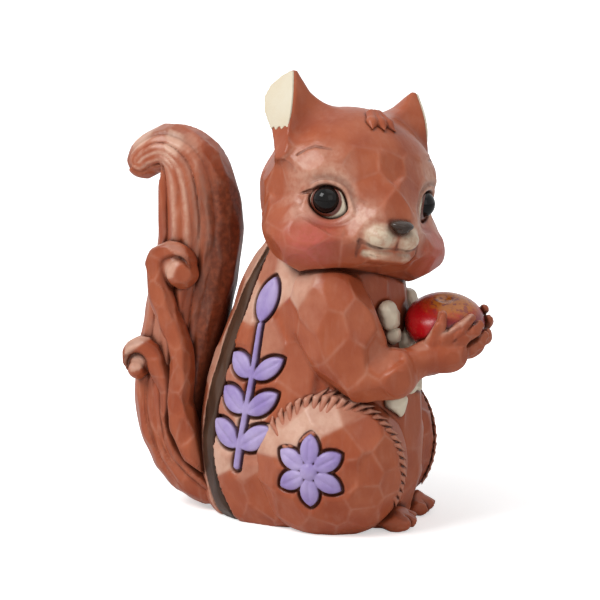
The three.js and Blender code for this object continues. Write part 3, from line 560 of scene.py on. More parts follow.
class Figure:
    """Every carved shape of the figurine, worked out from the sizes."""

    def __init__(self, sizes):
        self.height = sizes.body_height / MM
        self.half_width = sizes.body_half_width / MM
        self.half_depth = sizes.body_half_depth / MM
        self.haunch_half = np.array(sizes.haunch_half) / MM
        self.head_half = np.array(sizes.head_half) / MM
        self.ear_length = sizes.ear_length / MM
        self.eye_radius = sizes.eye_radius / MM
        self.apple_radius = sizes.apple_radius / MM
        self.tail_height = sizes.tail_height / MM
        self.tail_radius = sizes.tail_radius / MM
        self.rings = curve_through(BODY_RINGS, 12)
        turn = Matrix.Rotation(sizes.head_turn, 3, "Z") @ Matrix.Rotation(sizes.head_tilt, 3, "Y")
        self.head_axes = np.array(turn)
        self.apple = centre_of("apple") + APPLE_SHIFT
        self.tail_curve = self.make_tail_curve()
        self.forms = {}
        self.add_forms()

    # Body
    def ring(self, height):
        """Middle and half sizes of the body at each height."""
        rise = np.clip(height / self.height, 0, 1)
        width = np.interp(rise, self.rings[:, 0], self.rings[:, 1]) * self.half_width
        depth = np.interp(rise, self.rings[:, 0], self.rings[:, 2]) * self.half_depth
        return BODY_SET_BACK - BODY_LEAN * rise**2, width, depth

    def on_body(self, side, turn, height, lift=0):
        """A point on the body, that many degrees round from the spine."""
        middle, width, depth = self.ring(np.array(float(height)))
        angle = math.radians(turn)
        out = unit((side * math.sin(angle) / width, math.cos(angle) / depth, 0))
        skin = np.array((side * width * math.sin(angle), middle + depth * math.cos(angle), height))
        return skin + out * lift

    def body_skin(self, points):
        middle, width, depth = self.ring(points[:, 2])
        skin = ellipse(points[:, 0], points[:, 1] - middle, width, depth)
        skin = np.maximum(skin, points[:, 2] - self.height)
        return soft_overlap(skin, -points[:, 2], 1.0)

    def around_body(self, points):
        """Degrees from the spine, and millimetres of skin for each degree."""
        middle, width, depth = self.ring(points[:, 2])
        across = np.abs(points[:, 0]) / width
        along = (points[:, 1] - middle) / depth
        angle = np.arctan2(across, along)
        scale = np.hypot(width * np.cos(angle), depth * np.sin(angle))
        return np.degrees(angle), np.radians(scale)

    def stripe_gap(self, points):
        """How far each point lies outside the stripe, measured along the skin."""
        turn, scale = self.around_body(points)
        rise = points[:, 2] / self.height
        splay = STRIPE_SPLAY * np.maximum(0, 1 - rise / STRIPE_SPLAY_TOP)
        half_width = STRIPE_HALF_WIDTH - STRIPE_TOP_LOSS * fade(rise, 0.6, 0.9)
        return np.abs((turn - STRIPE_TURN - splay) * scale) - half_width

    def sprig_gap(self, points):
        """How far each point lies outside the leaf sprig, and how near its veins, along the skin."""
        turn, scale = self.around_body(points)
        across = (turn - SPRIG_TURN) * scale
        low, high = SPRIG_LOW * self.height, SPRIG_HIGH * self.height
        flat = np.column_stack([across, points[:, 2]])
        shares = np.linspace(0, 1, STEM_POINTS)
        stem = [(STEM_SWAY * math.sin(3.2 * share), low + (high - low) * share) for share in shares]
        gap = stroke(flat, [np.array(row) for row in stem], [0.75 - 0.03 * k for k in range(STEM_POINTS)])
        vein = np.full(len(points), 9.0)
        for pair in range(SPRIG_PAIRS):
            root = np.array(stem[1 + 2 * pair])
            long, wide = LEAF_LONG - LEAF_LOSS[0] * pair, LEAF_WIDE - LEAF_LOSS[1] * pair
            for lean in (-1, 1):
                self.add_leaf(flat, root, lean * LEAF_LEAN, long, wide, gap, vein)
        self.add_leaf(flat, np.array(stem[-1]), 0, *TOP_LEAF, gap, vein)
        return gap, vein

    @staticmethod
    def add_leaf(flat, root, lean, long, wide, gap, vein):
        """Adds one leaf to the gap and vein of a sprig."""
        way = np.array((math.sin(lean), math.cos(lean)))
        offset = flat - root - way * (long / 2 + 0.4)
        along = offset @ way
        across = offset @ np.array((way[1], -way[0]))
        np.minimum(gap, leaf(along, across, long / 2, wide / 2), out=gap)
        np.minimum(vein, np.hypot(across, np.maximum(np.abs(along) - long * 0.36, 0)), out=vein)

    def torso(self, points):
        skin = self.body_skin(points)
        stripe = self.stripe_gap(points)
        skin = skin + STRIPE_BED * within(stripe, 0, 0.6)
        gap, _ = self.sprig_gap(points)
        near = np.abs(skin) < 3
        shape = skin + SPRIG_BED * within(gap, 0.3, 0.9) * near
        for side in (-1, 1):
            shape = soft_join(shape, self.arm(points, side), self.shoulder_blend(points))
        return shape

    @staticmethod
    def shoulder_blend(points):
        """Width of the fillet around an arm: wide over the shoulder, a crease under the arm."""
        return 0.8 + 4.4 * fade(points[:, 2] + 0.55 * points[:, 1], 37, 45)

    def stripe(self, points):
        skin = self.body_skin(points)
        return soft_overlap(np.abs(skin + 0.5) - 0.6, self.stripe_gap(points), 0.4)

    def sprig(self, points):
        skin = self.body_skin(points)
        gap, vein = self.sprig_gap(points)
        rise = dome(gap, 0.55, 0.7) - 0.3 * bell(vein, 0.35)
        return inlay(skin, rise, SPRIG_DEPTH, gap, 0.35)

    # Haunches
    def haunch_centre(self, side):
        return mirrored(HAUNCH_CENTRE, side)

    def haunch_skin(self, points, side):
        skin = ellipsoid(points, self.haunch_centre(side), self.haunch_half)
        return soft_overlap(skin, -points[:, 2], 1.0)

    def flower_gap(self, points, side):
        """How far each point lies outside the six petals and the middle of the flower."""
        offset = points[:, 1:] - self.haunch_centre(side)[1:] - (FLOWER_SET_BACK, 0)
        petals = np.full(len(points), 9.0)
        vein = np.full(len(points), 9.0)
        for k in range(PETALS):
            angle = math.radians(360 / PETALS * (k + 0.5))
            way = np.array((math.cos(angle), math.sin(angle)))
            along = offset @ way - PETAL_OUT
            across = offset @ np.array((-way[1], way[0]))
            petals = np.minimum(petals, leaf(along, across, *PETAL_HALF))
            beyond = np.maximum(np.abs(along) - PETAL_VEIN_HALF, 0)
            vein = np.minimum(vein, np.hypot(across, beyond))
        return petals, vein, length(offset) - FLOWER_BOSS

    def haunch(self, points, side):
        skin = self.haunch_skin(points, side)
        petals, _, boss = self.flower_gap(points, side)
        outside = (points[:, 0] * side > FLOWER_INNER) * (np.abs(skin) < 3)
        gap = np.minimum(petals, boss)
        return skin + FLOWER_BED * within(gap, 0.25, 0.8) * outside

    def flower(self, points, side):
        skin = self.haunch_skin(points, side)
        petals, vein, boss = self.flower_gap(points, side)
        outer = FLOWER_INNER - points[:, 0] * side
        petal_rise = dome(petals, 0.55, 0.6) - 0.28 * bell(vein, 0.35)
        petal = inlay(skin, petal_rise, FLOWER_DEPTH, petals, 0.3)
        middle = inlay(skin, dome(boss, 0.8, 0.5), FLOWER_DEPTH, boss, 0.3)
        return np.maximum(np.minimum(petal, middle), outer)

    def on_fringe(self, side, angle, lean, lift):
        """A point on the haunch along the line of its fur."""
        flat = math.sqrt(1 - lean**2)
        way = np.array((side * lean, -flat * math.cos(angle), flat * math.sin(angle)))
        out = unit(way / self.haunch_half)
        return self.haunch_centre(side) + way * self.haunch_half + out * lift

    def fringe_teeth(self, side):
        """Each tooth of fur as its size and three points of its path; the longest stand on top."""
        for k in range(FRINGE_TEETH):
            share = (k + 0.5) / FRINGE_TEETH
            angle = math.radians(FRINGE_START - FRINGE_SWEEP * share**0.8)
            lean = np.interp(share, *FRINGE_LEANS)
            size = 0.65 + 0.35 * math.exp(-(((share - 0.27) / 0.18) ** 2))
            yield size, [
                self.on_fringe(side, angle + 0.2 * size, lean + 0.38 * size, -1.2 * size),
                self.on_fringe(side, angle, lean - 0.02, 0.2),
                self.on_fringe(side, angle - 0.15 * size, lean - 0.2 * size, 1.1 * size),
            ]

    def fringe(self, points, side):
        best = np.full(len(points), 99.0)
        for size, path in self.fringe_teeth(side):
            near = np.flatnonzero(length(points - path[1]) < 8)
            if len(near):
                tooth = stroke(points[near], path, [size, 0.74 * size, 0.1], 0.3)
                best[near] = np.minimum(best[near], tooth)
        far = best > 90
        if far.any():
            best[far] = self.fringe_far(points[far], side)
        return best

    def fringe_far(self, points, side):
        """Rough distance to the fringe for points that lie well away from it."""
        middles = [path[1] for _, path in self.fringe_teeth(side)]
        return stroke(points, middles, [1.0] * len(middles))

    # Feet
    def foot(self, points, side):
        squeeze = (1 / FOOT_SPREAD, 1, 1)
        path = []
        for share in (1, 0.5, 0):
            rise = FOOT_HALF_HEIGHT * (0.8 + 0.2 * share)
            path.append(np.array((side * FOOT_OUT, TOE_LINE + FOOT_LENGTH * share, rise)) * squeeze)
        shape = stroke(points * squeeze, path, [FOOT_HALF_HEIGHT, FOOT_HALF_HEIGHT, 2.2], 1.0)
        for k in (-1, 0, 1):
            reach = TOE_LINE - (MIDDLE_TOE_REACH if k == 0 else 0)
            at = (side * FOOT_OUT + TOE_SPACING * k, reach - 0.3, 1.7)
            toe = ellipsoid(points, np.array(at), TOE_HALF)
            shape = soft_join(shape, toe, 0.5)
        return soft_overlap(shape, -points[:, 2], 0.5)

    # Head
    def to_head(self, points):
        return (points - HEAD_CENTRE) @ self.head_axes

    def from_head(self, local):
        return HEAD_CENTRE + self.head_axes @ np.asarray(local, float)

    def skull_reach(self, directions):
        half = np.tile(self.head_half, (len(directions), 1))
        half[directions[:, 1] > 0, 1] *= HEAD_BACK_SHARE
        half[directions[:, 2] < 0, 2] *= HEAD_LOW_SHARE
        reach = 1 / length(directions / half)
        below = within(directions[:, 2], CHEEK_FULL, CHEEK_TOP)
        for side in (-1, 1):
            reach = reach + below * self.swell(directions, CHEEK_SWELL, side)
            for swelling in (BROW_SWELL, TEMPLE_HOLLOW, NAPE_SWELL):
                reach = reach + self.swell(directions, swelling, side)
        return reach + self.swell(directions, MUZZLE_SWELL, 1)

    @staticmethod
    def swell(directions, swelling, side):
        """Height of one swelling in each direction."""
        toward, height, spread = swelling
        return height * bell(angle_to(directions, mirrored(toward, side)), spread)

    def on_head(self, x, y, z, lift=0):
        """A point on the skull in the head's own directions."""
        way = unit((x, y, z))
        return way * (self.skull_reach(way[None])[0] + lift)

    def skull(self, local):
        far = np.maximum(length(local), 1e-6)
        return far - self.skull_reach(local / far[:, None])

    def eye_axes(self, side):
        """Middle of an eye in the head's directions, and its across, outward and upward directions."""
        out = unit(mirrored(EYE_FACING, side))
        middle = self.on_head(*EYE_WAYS[side]) - out * EYE_SINK[side]
        across = unit(np.cross(out, (0, 0, 1)))
        return middle, np.column_stack([across, out, np.cross(across, out)])

    def beside_eye(self, side, lift):
        """A place before the middle of an eye's white, so far above the skull, and the eye's directions."""
        middle, axes = self.eye_axes(side)
        across, up = EYE_WHITE_SHIFT[side]
        return middle + axes @ np.array((across, EYE_SINK[side] + lift, up)), axes

    def eye_white(self, local, side):
        centre, axes = self.beside_eye(side, -EYE_WHITE_SINK)
        slant = np.array(Matrix.Rotation(EYE_SLANT * side, 3, "Y"))
        white = ellipsoid(local, centre, EYE_WHITE_HALF, axes @ slant)
        middle, _ = self.eye_axes(side)
        lid = (local - middle) @ (axes @ unit((0.9 * side, 0, 0.43))) - EYE_LID_REACH
        return soft_overlap(white, lid, 0.5)

    def eye_socket(self, local, side):
        """Bowl that keeps the cheek and brow clear of an eye."""
        centre, axes = self.beside_eye(side, SOCKET_LIFT)
        return ellipsoid(local, centre, SOCKET_HALF, axes)

    def lip(self, local, side):
        return ellipsoid(local, mirrored(LIP_AT, side), LIP_HALF)

    def chin(self, local):
        return ellipsoid(local, np.array(CHIN_AT), CHIN_HALF)

    def ear_tip(self, side):
        return mirrored(EAR_TIP, side) - (0, 0, LEFT_EAR_DROP * (side > 0))

    def ear_place(self, local, side):
        """Share of the way down an ear, and distances from its ridge along its outer and inner faces."""
        offset = (local - self.ear_tip(side)) * (-side, 1, 1)
        down = -offset[:, 2] / EAR_RIDGE[2]
        share = down / self.ear_length
        bow = np.sin(math.pi * np.clip(share, 0, 1))
        offset = offset + down[:, None] * EAR_RIDGE + bow[:, None] * EAR_BOW
        return share, offset @ EAR_OUTER_WAY, offset @ EAR_INNER_WAY

    def ear_outline(self, share, outer, inner):
        """How far a point lies outside the round back of an ear."""
        rows = np.array(EAR_REACH)
        outer_reach = np.interp(share, rows[:, 0], rows[:, 1])
        inner_reach = np.interp(share, rows[:, 0], rows[:, 2])
        near = np.hypot(outer / outer_reach - 0.5, inner / inner_reach - 0.5) - math.sqrt(0.5)
        ends = (np.abs(share - EAR_MIDDLE) - EAR_HALF) * self.ear_length
        return np.maximum(near * np.minimum(outer_reach, inner_reach), ends)

    def ear(self, local, side):
        share, outer, inner = self.ear_place(local, side)
        shape = soft_overlap(self.ear_outline(share, outer, inner), -inner, 0.5)
        return soft_overlap(shape, -outer, 0.7)

    def head(self, points):
        local = self.to_head(points)
        shape = self.skull(local)
        for side in (-1, 1):
            shape = soft_join(shape, self.ear(local, side), 4.6)
        for side in (-1, 1):
            shape = soft_join(shape, self.lip(local, side), 1.1)
        shape = soft_join(shape, self.chin(local), 0.8)
        for side in (-1, 1):
            white = self.eye_white(local, side)
            shape = soft_cut(shape, self.eye_socket(local, side), 2.8)
            lid = soft_overlap(np.abs(white - 0.8) - 0.5, np.abs(shape - 0.1) - 0.4, 0.5)
            shape = soft_join(shape, lid, 0.7)
            shape = soft_cut(shape, white - 0.22, 0.3)
            shape = soft_cut(shape, self.lash_line(local, side), 0.25)
            shape = soft_cut(shape, self.brow_line(local, side), 0.25)
            shape = soft_cut(shape, self.mouth_fold(local, side), 0.5)
        return soft_cut(shape, self.mouth_line(local), 0.3)

    def face_line(self, local, side, places, radii):
        """A groove over the skull."""
        path = [self.on_head(x * side, y, z, LINE_LIFT) for x, y, z in places]
        return stroke(local, path, radii)

    def lash_line(self, local, side):
        """Crease that runs back from the outer corner of an eye."""
        return self.face_line(local, side, LASH_LINE, LASH_RADII)

    def brow_line(self, local, side):
        """Thin carved arc of an eyebrow."""
        return self.face_line(local, side, BROW_LINE, BROW_RADII)

    def mouth_fold(self, local, side):
        """Shallow crease that runs down from a corner of the mouth."""
        return self.face_line(local, side, MOUTH_FOLD, FOLD_RADII)

    def mouth_line(self, local):
        """Groove under the nose and along both sides of the mouth."""
        top, middle = np.array(MOUTH_TOP), np.array(MOUTH_MIDDLE)
        best = stroke(local, [top, middle], [0.28, 0.4])
        for side in (-1, 1):
            path = [middle] + [mirrored(bend, side) for bend in MOUTH_BENDS]
            best = np.minimum(best, stroke(local, path, MOUTH_RADII))
        return best

    def lining(self, points, side):
        share, outer, inner = self.ear_place(self.to_head(points), side)
        rows = np.array(EAR_REACH)
        wide = np.interp(share, rows[:, 0], rows[:, 1])
        shape = np.maximum(np.abs(inner - 0.1) - 0.35, np.abs(outer - wide / 2 - 0.1) - wide / 2 + 0.2)
        low = (share - 0.94) * self.ear_length - 0.35 * np.sin(outer * 4) - 0.2 * outer
        return soft_overlap(np.maximum(shape, -share * self.ear_length), low, 0.2)

    def forelock(self, points):
        local = self.to_head(points)
        best = np.full(len(points), 99.0)
        for place in (-1, 0, 1):
            root = self.on_head(0.06 * place, -0.38, 0.9)
            tip = self.on_head(0.2 * place, -0.7, 0.75, 0.52)
            run = unit(tip - root) * FORELOCK_LENGTH
            path = [root - run * 0.1, root + run * 0.55, root + run]
            best = np.minimum(best, stroke(local, path, FORELOCK_RADII, 0.8))
        return best

    def nose(self, points):
        local = self.to_head(points)
        at = np.array(NOSE_AT)
        top = ellipsoid(local, at + (0, 0, 0.35), NOSE_TOP_HALF)
        tip = ellipsoid(local, at + (0, 0.1, -0.5), NOSE_TIP_HALF)
        shape = soft_join(top, tip, 1.0)
        for side in (-1, 1):
            nostril = ellipsoid(local, at + mirrored(NOSTRIL_AT, side), NOSTRIL_HALF)
            shape = soft_cut(shape, nostril, 0.3)
        return shape

    def eye(self, points, side):
        middle, _ = self.eye_axes(side)
        return length(self.to_head(points) - middle) - self.eye_radius

    def eye_rim(self, points, side):
        return self.eye_white(self.to_head(points), side)

    # Tail
    def make_tail_curve(self):
        rows = curve_through(TAIL_STATIONS, 8)
        rows[:, 0] = TAIL_ROOT + rows[:, 0] * TAIL_REACH
        rows[:, 1] *= self.tail_height
        rows[:, 2:] *= self.tail_radius
        return rows

    def tail(self, points):
        place, share, gap, thick, wide = self.tail_place(points)
        shape = ellipse(points[:, 0], gap, thick, wide)
        deep = fade(place, 0.06, 0.2) * (1 - 0.5 * fade(place, 0.9, 1))
        for k, (at, depth) in enumerate(TAIL_LOCKS):
            away = (share - at - 0.03 * np.sin(place * 7 + 2 * k)) * 2 * wide
            shape = shape + depth * deep * np.exp(-np.where(away < 0, -away / 0.6, away / 1.5))
        return soft_overlap(shape, -points[:, 2], 1.0)

    def tail_place(self, points):
        """Shares of the way along the tail and across it, the gap to its line, and its half sizes there."""
        curve = self.tail_curve
        place, gap, side = along_curve(points[:, 1:], curve[:, :2])
        steps = np.concatenate([[0], np.cumsum(length(np.diff(curve[:, :2], axis=0)))])
        steps /= steps[-1]
        thick = np.interp(place, steps, curve[:, 2])
        wide = np.interp(place, steps, curve[:, 3])
        return place, (1 + side * gap / wide) / 2, gap, thick, wide

    def curl_middle(self, name):
        """Flat middle of a coil."""
        setback, rise = CURLS[name]["centre"]
        return np.array((TAIL_ROOT + setback * TAIL_REACH, rise * self.tail_height))

    def curl_path(self, name):
        """Flat path of a curl and its half width at each point."""
        curl = CURLS[name]
        middle = self.curl_middle(name)
        coil = curve_through(curl["coil"], 6)
        angles = np.radians(coil[:, 0])
        wound = middle + np.column_stack([np.cos(angles), np.sin(angles)]) * coil[:, 1:2]
        wound = np.column_stack([wound, coil[:, 2]])
        rows = [(TAIL_ROOT + s * TAIL_REACH, r * self.tail_height, half) for s, r, half in curl["stem"]]
        stem = curve_through(rows + [wound[0]], 5)
        path = np.vstack([stem[:-1], wound])
        return path[:, :2], path[:, 2]

    def curl(self, points, name, side):
        path, halves = self.curl_path(name)
        flat = points[:, 1:]
        edge, half = np.full(len(points), 99.0), np.ones(len(points))
        for a, b, start, end in zip(path[:-1], path[1:], halves[:-1], halves[1:]):
            run = b - a
            share = np.clip((flat - a) @ run / (run @ run), 0, 1)
            here = start + (end - start) * share
            gap = length(flat - a - share[:, None] * run) - here
            nearer = gap < edge
            edge[nearer], half[nearer] = gap[nearer], here[nearer]
        across = points[:, 0] - side * CURLS[name]["out"]
        shape = soft_overlap(np.abs(across) - CURL_THICKNESS + 0.5, edge, 2.2)
        back, rise, radius = CURLS[name]["knob"]
        middle = np.array((side * CURLS[name]["out"], *self.curl_middle(name)))
        web = ellipsoid(points, middle, (CURL_WEB, radius * 1.3, radius * 1.3))
        knob = ellipsoid(points, middle + (0, back, rise), (CURL_THICKNESS, radius, radius))
        shape = soft_join(np.minimum(shape, web), knob, 0.3)
        return soft_overlap(shape, -points[:, 2], 0.6)

    # Arms, hands and apple
    def on_apple(self, side, turn, rise, lift):
        """A point on the apple: degrees round from its front and above its middle."""
        radius = self.apple_radius + lift
        turn, rise = math.radians(turn), math.radians(rise)
        return self.apple + (
            side * radius * math.cos(rise) * math.sin(turn),
            -radius * math.cos(rise) * math.cos(turn),
            (GRIP_HALF_HEIGHT + lift) * math.sin(rise),
        )

    def arm(self, points, side):
        shoulder = self.shoulder(side)
        axes = np.array(Matrix.Rotation(UPPER_ARM_LEAN, 3, "X"))
        upper = ellipsoid(points, shoulder, UPPER_ARM_HALF, axes)
        slim = FOREARM_TUCK * within(self.behind_wrist(points, side), 1.5, 3)
        return soft_join(upper, self.forearm(points, side) + slim, 1.6)

    def shoulder(self, side):
        at = self.on_body(side, SHOULDER_TURN, SHOULDER_HEIGHT, 1) + (0, -SHOULDER_SET_FORWARD, 0)
        return at + np.array(LEFT_ARM_SHIFT) * (side > 0)

    def elbow(self, side):
        return self.shoulder(side) + ELBOW_FROM_SHOULDER

    def forearm(self, points, side):
        elbow = self.elbow(side)
        wrist = self.wrist(side)
        middle = elbow + (wrist - elbow) * 0.55 + mirrored(FOREARM_BOW, side)
        return stroke(points, [elbow, middle, wrist], FOREARM_RADII, 2.0)

    def behind_wrist(self, points, side):
        """How far each point lies behind a wrist, towards the elbow."""
        wrist = self.wrist(side)
        return (points - wrist) @ unit(self.elbow(side) - wrist)

    def wrist(self, side):
        return self.apple + mirrored(WRIST_FROM_APPLE, side)

    def digit(self, side, places, turned=0, raised=0, lift=0.8):
        """Path of a finger or thumb over the apple."""
        return [self.on_apple(side, turn + turned, rise + raised, lift) for turn, rise in places]

    def hand(self, points, side):
        palm_at = self.on_apple(side, *PALM_PLACE, PALM_LIFT)
        shape = ellipsoid(points, palm_at, PALM_HALF)
        wrist = self.wrist(side)
        shape = soft_join(shape, stroke(points, [wrist, palm_at], [2.8, 3.0]), 1.5)
        behind = self.behind_wrist(points, side)
        cuff = self.forearm(points, side) - 0.05 + FOREARM_TUCK * fade(behind, 3, CUFF_LENGTH)
        shape = soft_join(shape, np.maximum(cuff, behind - CUFF_LENGTH), 1.5)
        fingers = np.full(len(points), 99.0)
        for places in FINGER_PLACES:
            finger = stroke(points, self.digit(side, places), FINGER_RADII, 0.6)
            fingers = soft_join(fingers, finger, 0.2)
        thumb = stroke(points, self.digit(side, THUMB_PLACES), THUMB_RADII, 0.6)
        return soft_join(soft_join(shape, fingers, 0.9), thumb, 0.5)

    def apple_shape(self, points):
        local = (points - self.apple) @ APPLE_AXES
        across = np.hypot(local[:, 0], local[:, 1])
        skin = ellipse(across, local[:, 2], self.apple_radius, APPLE_HALF_HEIGHT)
        for sign, deep, wide in APPLE_DIMPLES:
            skin = skin + deep * bell(across, wide) * (local[:, 2] * sign > 0)
        return skin

    # Bib
    def bib(self, points):
        skin = self.body_skin(points)
        rise = BIB_HIGH - BIB_LOW
        share = (points[:, 2] - BIB_LOW) / rise
        half = BIB_HALF_WIDTH * np.interp(share, [0.2, 0.4, 0.66, 0.8], [0.2, 0.7, 0.7, 0.2])
        pad = soft_overlap(np.abs(skin) - 0.9, np.abs(points[:, 0]) - half, 0.8)
        pad = soft_overlap(pad, np.abs(share - 0.5) * rise - BIB_HALF_HEIGHT, 0.8)
        shape = np.maximum(pad, points[:, 1])
        for side in (-1, 1):
            around = BIB_LEFT_TURN if side > 0 else 0
            tip = [self.on_body(side, 180 - turn - around, height, 0.5) for turn, height in BIB_TIP]
            shape = soft_join(shape, stroke(points, tip, [2.4, 0.6]), 0.35)
            low_tufts = tuple((height, turn + around, half) for height, turn, half in BIB_LOW_TUFTS)
            for height, turn, half_size in low_tufts + BIB_TUFTS:
                middle = self.on_body(side, 180 - turn, height, 0.5)
                shape = soft_join(shape, ellipsoid(points, middle, half_size), 0.35)
        return shape

    def add_forms(self):
        """Lists every shape with the box it lies in."""
        width, depth = self.half_width + 1, self.half_depth + 1
        middle = BODY_SET_BACK
        add = self.forms.__setitem__
        front = self.apple[1] - 2
        add("torso", Form(self.torso, (-width - 6, front, -1), (width + 6, middle + depth, self.height + 1)))
        head_reach = 25
        add("head", Form(self.head, HEAD_CENTRE - head_reach, HEAD_CENTRE + (head_reach, head_reach, 27)))
        add("forelock", Form(self.forelock, HEAD_CENTRE - head_reach, HEAD_CENTRE + head_reach))
        nose = self.from_head(NOSE_AT)
        add("nose", Form(self.nose, nose - 4, nose + 4))
        tail = self.tail_curve
        reach = self.tail_radius + 1.5
        low = (-reach, tail[:, 0].min() - reach, -1)
        high = (reach, tail[:, 0].max() + reach, tail[:, 1].max() + reach)
        add("tail", Form(self.tail, low, high))
        add("apple", Form(self.apple_shape, self.apple - 10, self.apple + 10))
        add("bib", Form(self.bib, (-12, -30, 15), (12, -8, 52)))
        for label, side in SIDES.items():
            self.add_sided(label, side)

    def add_sided(self, label, side):
        """Lists the shapes of one side."""

        def add(name, field, low, high):
            self.forms[f"{name}_{label}"] = Form(lambda points: field(points, side), low, high)

        haunch, half = self.haunch_centre(side), self.haunch_half + 2
        add("haunch", self.haunch, haunch - half, haunch + half)
        add("haunch_flower", self.flower, haunch - half, haunch + half)
        add("haunch_fringe", self.fringe, haunch - half, haunch + half)
        add("foot", self.foot, (side * FOOT_OUT - 6, -25, -1), (side * FOOT_OUT + 6, 3, 8))
        inner, outer = sorted((0, side * (self.half_width + 2)))
        add("back_stripe", self.sided(self.stripe), (inner, -5, -1), (outer, 30, 58))
        add("flank_sprig", self.sided(self.sprig), (inner, -20, 5), (outer, 30, 55))
        eye = self.from_head(self.eye_axes(side)[0])
        add("eye", self.eye, eye - 5, eye + 5)
        add("eye_rim", self.eye_rim, eye - 7, eye + 7)
        ear = self.from_head(self.ear_tip(side))
        add("ear_lining", self.lining, ear - 16, ear + (12, 16, 2))
        add("hand", self.hand, self.apple - 16, self.apple + 16)
        for name in CURLS:
            path = self.curl_path(name)[0]
            out = side * CURLS[name]["out"]
            low = (out - 5, path[:, 0].min() - 5, max(path[:, 1].min() - 5, -1))
            high = (out + 5, path[:, 0].max() + 5, path[:, 1].max() + 5)
            self.add_curl(name, label, side, low, high)

    def add_curl(self, name, label, side, low, high):
        form = Form(lambda points: self.curl(points, name, side), low, high)
        self.forms[f"tail_curl_{name}_{label}"] = form

    @staticmethod
    def sided(field):
        """Keeps a shape that is the same on both sides to one of them."""
        return lambda points, side: np.maximum(field(points), -points[:, 0] * side)

    def gap_to_all(self, points):
        """Distance to the nearest shape of the whole figurine, up to a few millimetres."""
        best = np.full(len(points), 6.0)
        for form in self.forms.values():
            inside = ((points > form.low - 3) & (points < form.high + 3)).all(axis=1)
            near = np.flatnonzero(inside)
            if len(near):
                best[near] = np.minimum(best[near], form.field(points[near]))
        return best


# Meshing
BLOCK = 4


def field_grid(form, step):
    """Distances on a fine grid, worked out only near the surface."""
    count = np.ceil((form.high - form.low) / (step * BLOCK)).astype(int) + 1
    blocks = np.indices(count).reshape(3, -1).T * BLOCK
    rough = form.field(form.low + (blocks + (BLOCK - 1) / 2) * step)
    grid = np.where(rough > 0, 9.0, -9.0).reshape(count)
    for axis in range(3):
        grid = np.repeat(grid, BLOCK, axis=axis)
    active = blocks[np.abs(rough) < step * BLOCK * 1.7]
    offsets = np.indices((BLOCK,) * 3).reshape(3, -1).T
    cells = (active[:, None] + offsets[None]).reshape(-1, 3)
    grid[tuple(cells.T)] = form.field(form.low + cells * step)
    return grid


def net_of(grid):
    """Vertices, in cells, and four-sided faces of the surface where the grid is nought."""
    inside = grid < 0
    shape = np.array(grid.shape)
    corners = np.indices((2, 2, 2)).reshape(3, -1).T
    filled = sum(
        inside[i : shape[0] - 1 + i, j : shape[1] - 1 + j, k : shape[2] - 1 + k].astype(np.int8)
        for i, j, k in corners
    )
    cells = np.argwhere((filled > 0) & (filled < 8))
    number = np.full(shape - 1, -1)
    number[tuple(cells.T)] = np.arange(len(cells))
    total = np.zeros((len(cells), 3))
    crossings = np.zeros(len(cells))
    for a in corners:
        for axis in range(3):
            if a[axis]:
                continue
            b = a.copy()
            b[axis] = 1
            start, end = grid[tuple((cells + a).T)], grid[tuple((cells + b).T)]
            cut = (start < 0) != (end < 0)
            share = np.where(cut, start / np.where(cut, start - end, 1), 0)
            total += np.where(cut[:, None], a + share[:, None] * (b - a), 0)
            crossings += cut
    vertices = cells + total / crossings[:, None]
    faces = []
    for axis in range(3):
        one, two = [other for other in range(3) if other != axis]
        if axis == 1:
            one, two = two, one
        start = np.argwhere(np.diff(inside, axis=axis))
        start = start[(start[:, one] > 0) & (start[:, two] > 0)]
        start = start[(start[:, one] < shape[one] - 1) & (start[:, two] < shape[two] - 1)]
        around = []
        for step_one, step_two in ((0, 0), (-1, 0), (-1, -1), (0, -1)):
            cell = start.copy()
            cell[:, one] += step_one
            cell[:, two] += step_two
            around.append(number[tuple(cell.T)])
        quads = np.column_stack(around)
        flip = inside[tuple(start.T)]
        quads[~flip] = quads[~flip][:, ::-1]
        faces.append(quads)
    return vertices, np.vstack(faces)


def slope(field, points, reach):
    """Direction in which a field grows fastest at each point."""
    result = np.empty_like(points)
    for axis in range(3):
        shift = np.zeros(3)
        shift[axis] = reach
        result[:, axis] = field(points + shift) - field(points - shift)
    return result / (2 * reach)


def carved_surface(form, step):
    """Vertices, outward directions and faces of a form."""
    vertices, faces = net_of(field_grid(form, step))
    points = form.low + vertices * step
    for _ in range(2):
        way = slope(form.field, points, step / 2)
        move = form.field(points) / np.maximum(np.einsum("ij,ij->i", way, way), 0.2)
        points = points - way * np.clip(move, -step, step)[:, None]
    way = slope(form.field, points, step)
    return points, way / np.maximum(length(way), 1e-6)[:, None], faces


# Facets: most tries at placing them, scatter of their facing, width of the blend and of the ridge between
# two, how much a turned surface counts as distance, and how many pairs are compared at once
FACET_TRIES = 6000
FACET_SCATTER = 0.05
FACET_BLEND = 0.22
RIDGE_WIDTH = 0.26
TURN_WEIGHT = 9
PAIRS_AT_ONCE = 4000000


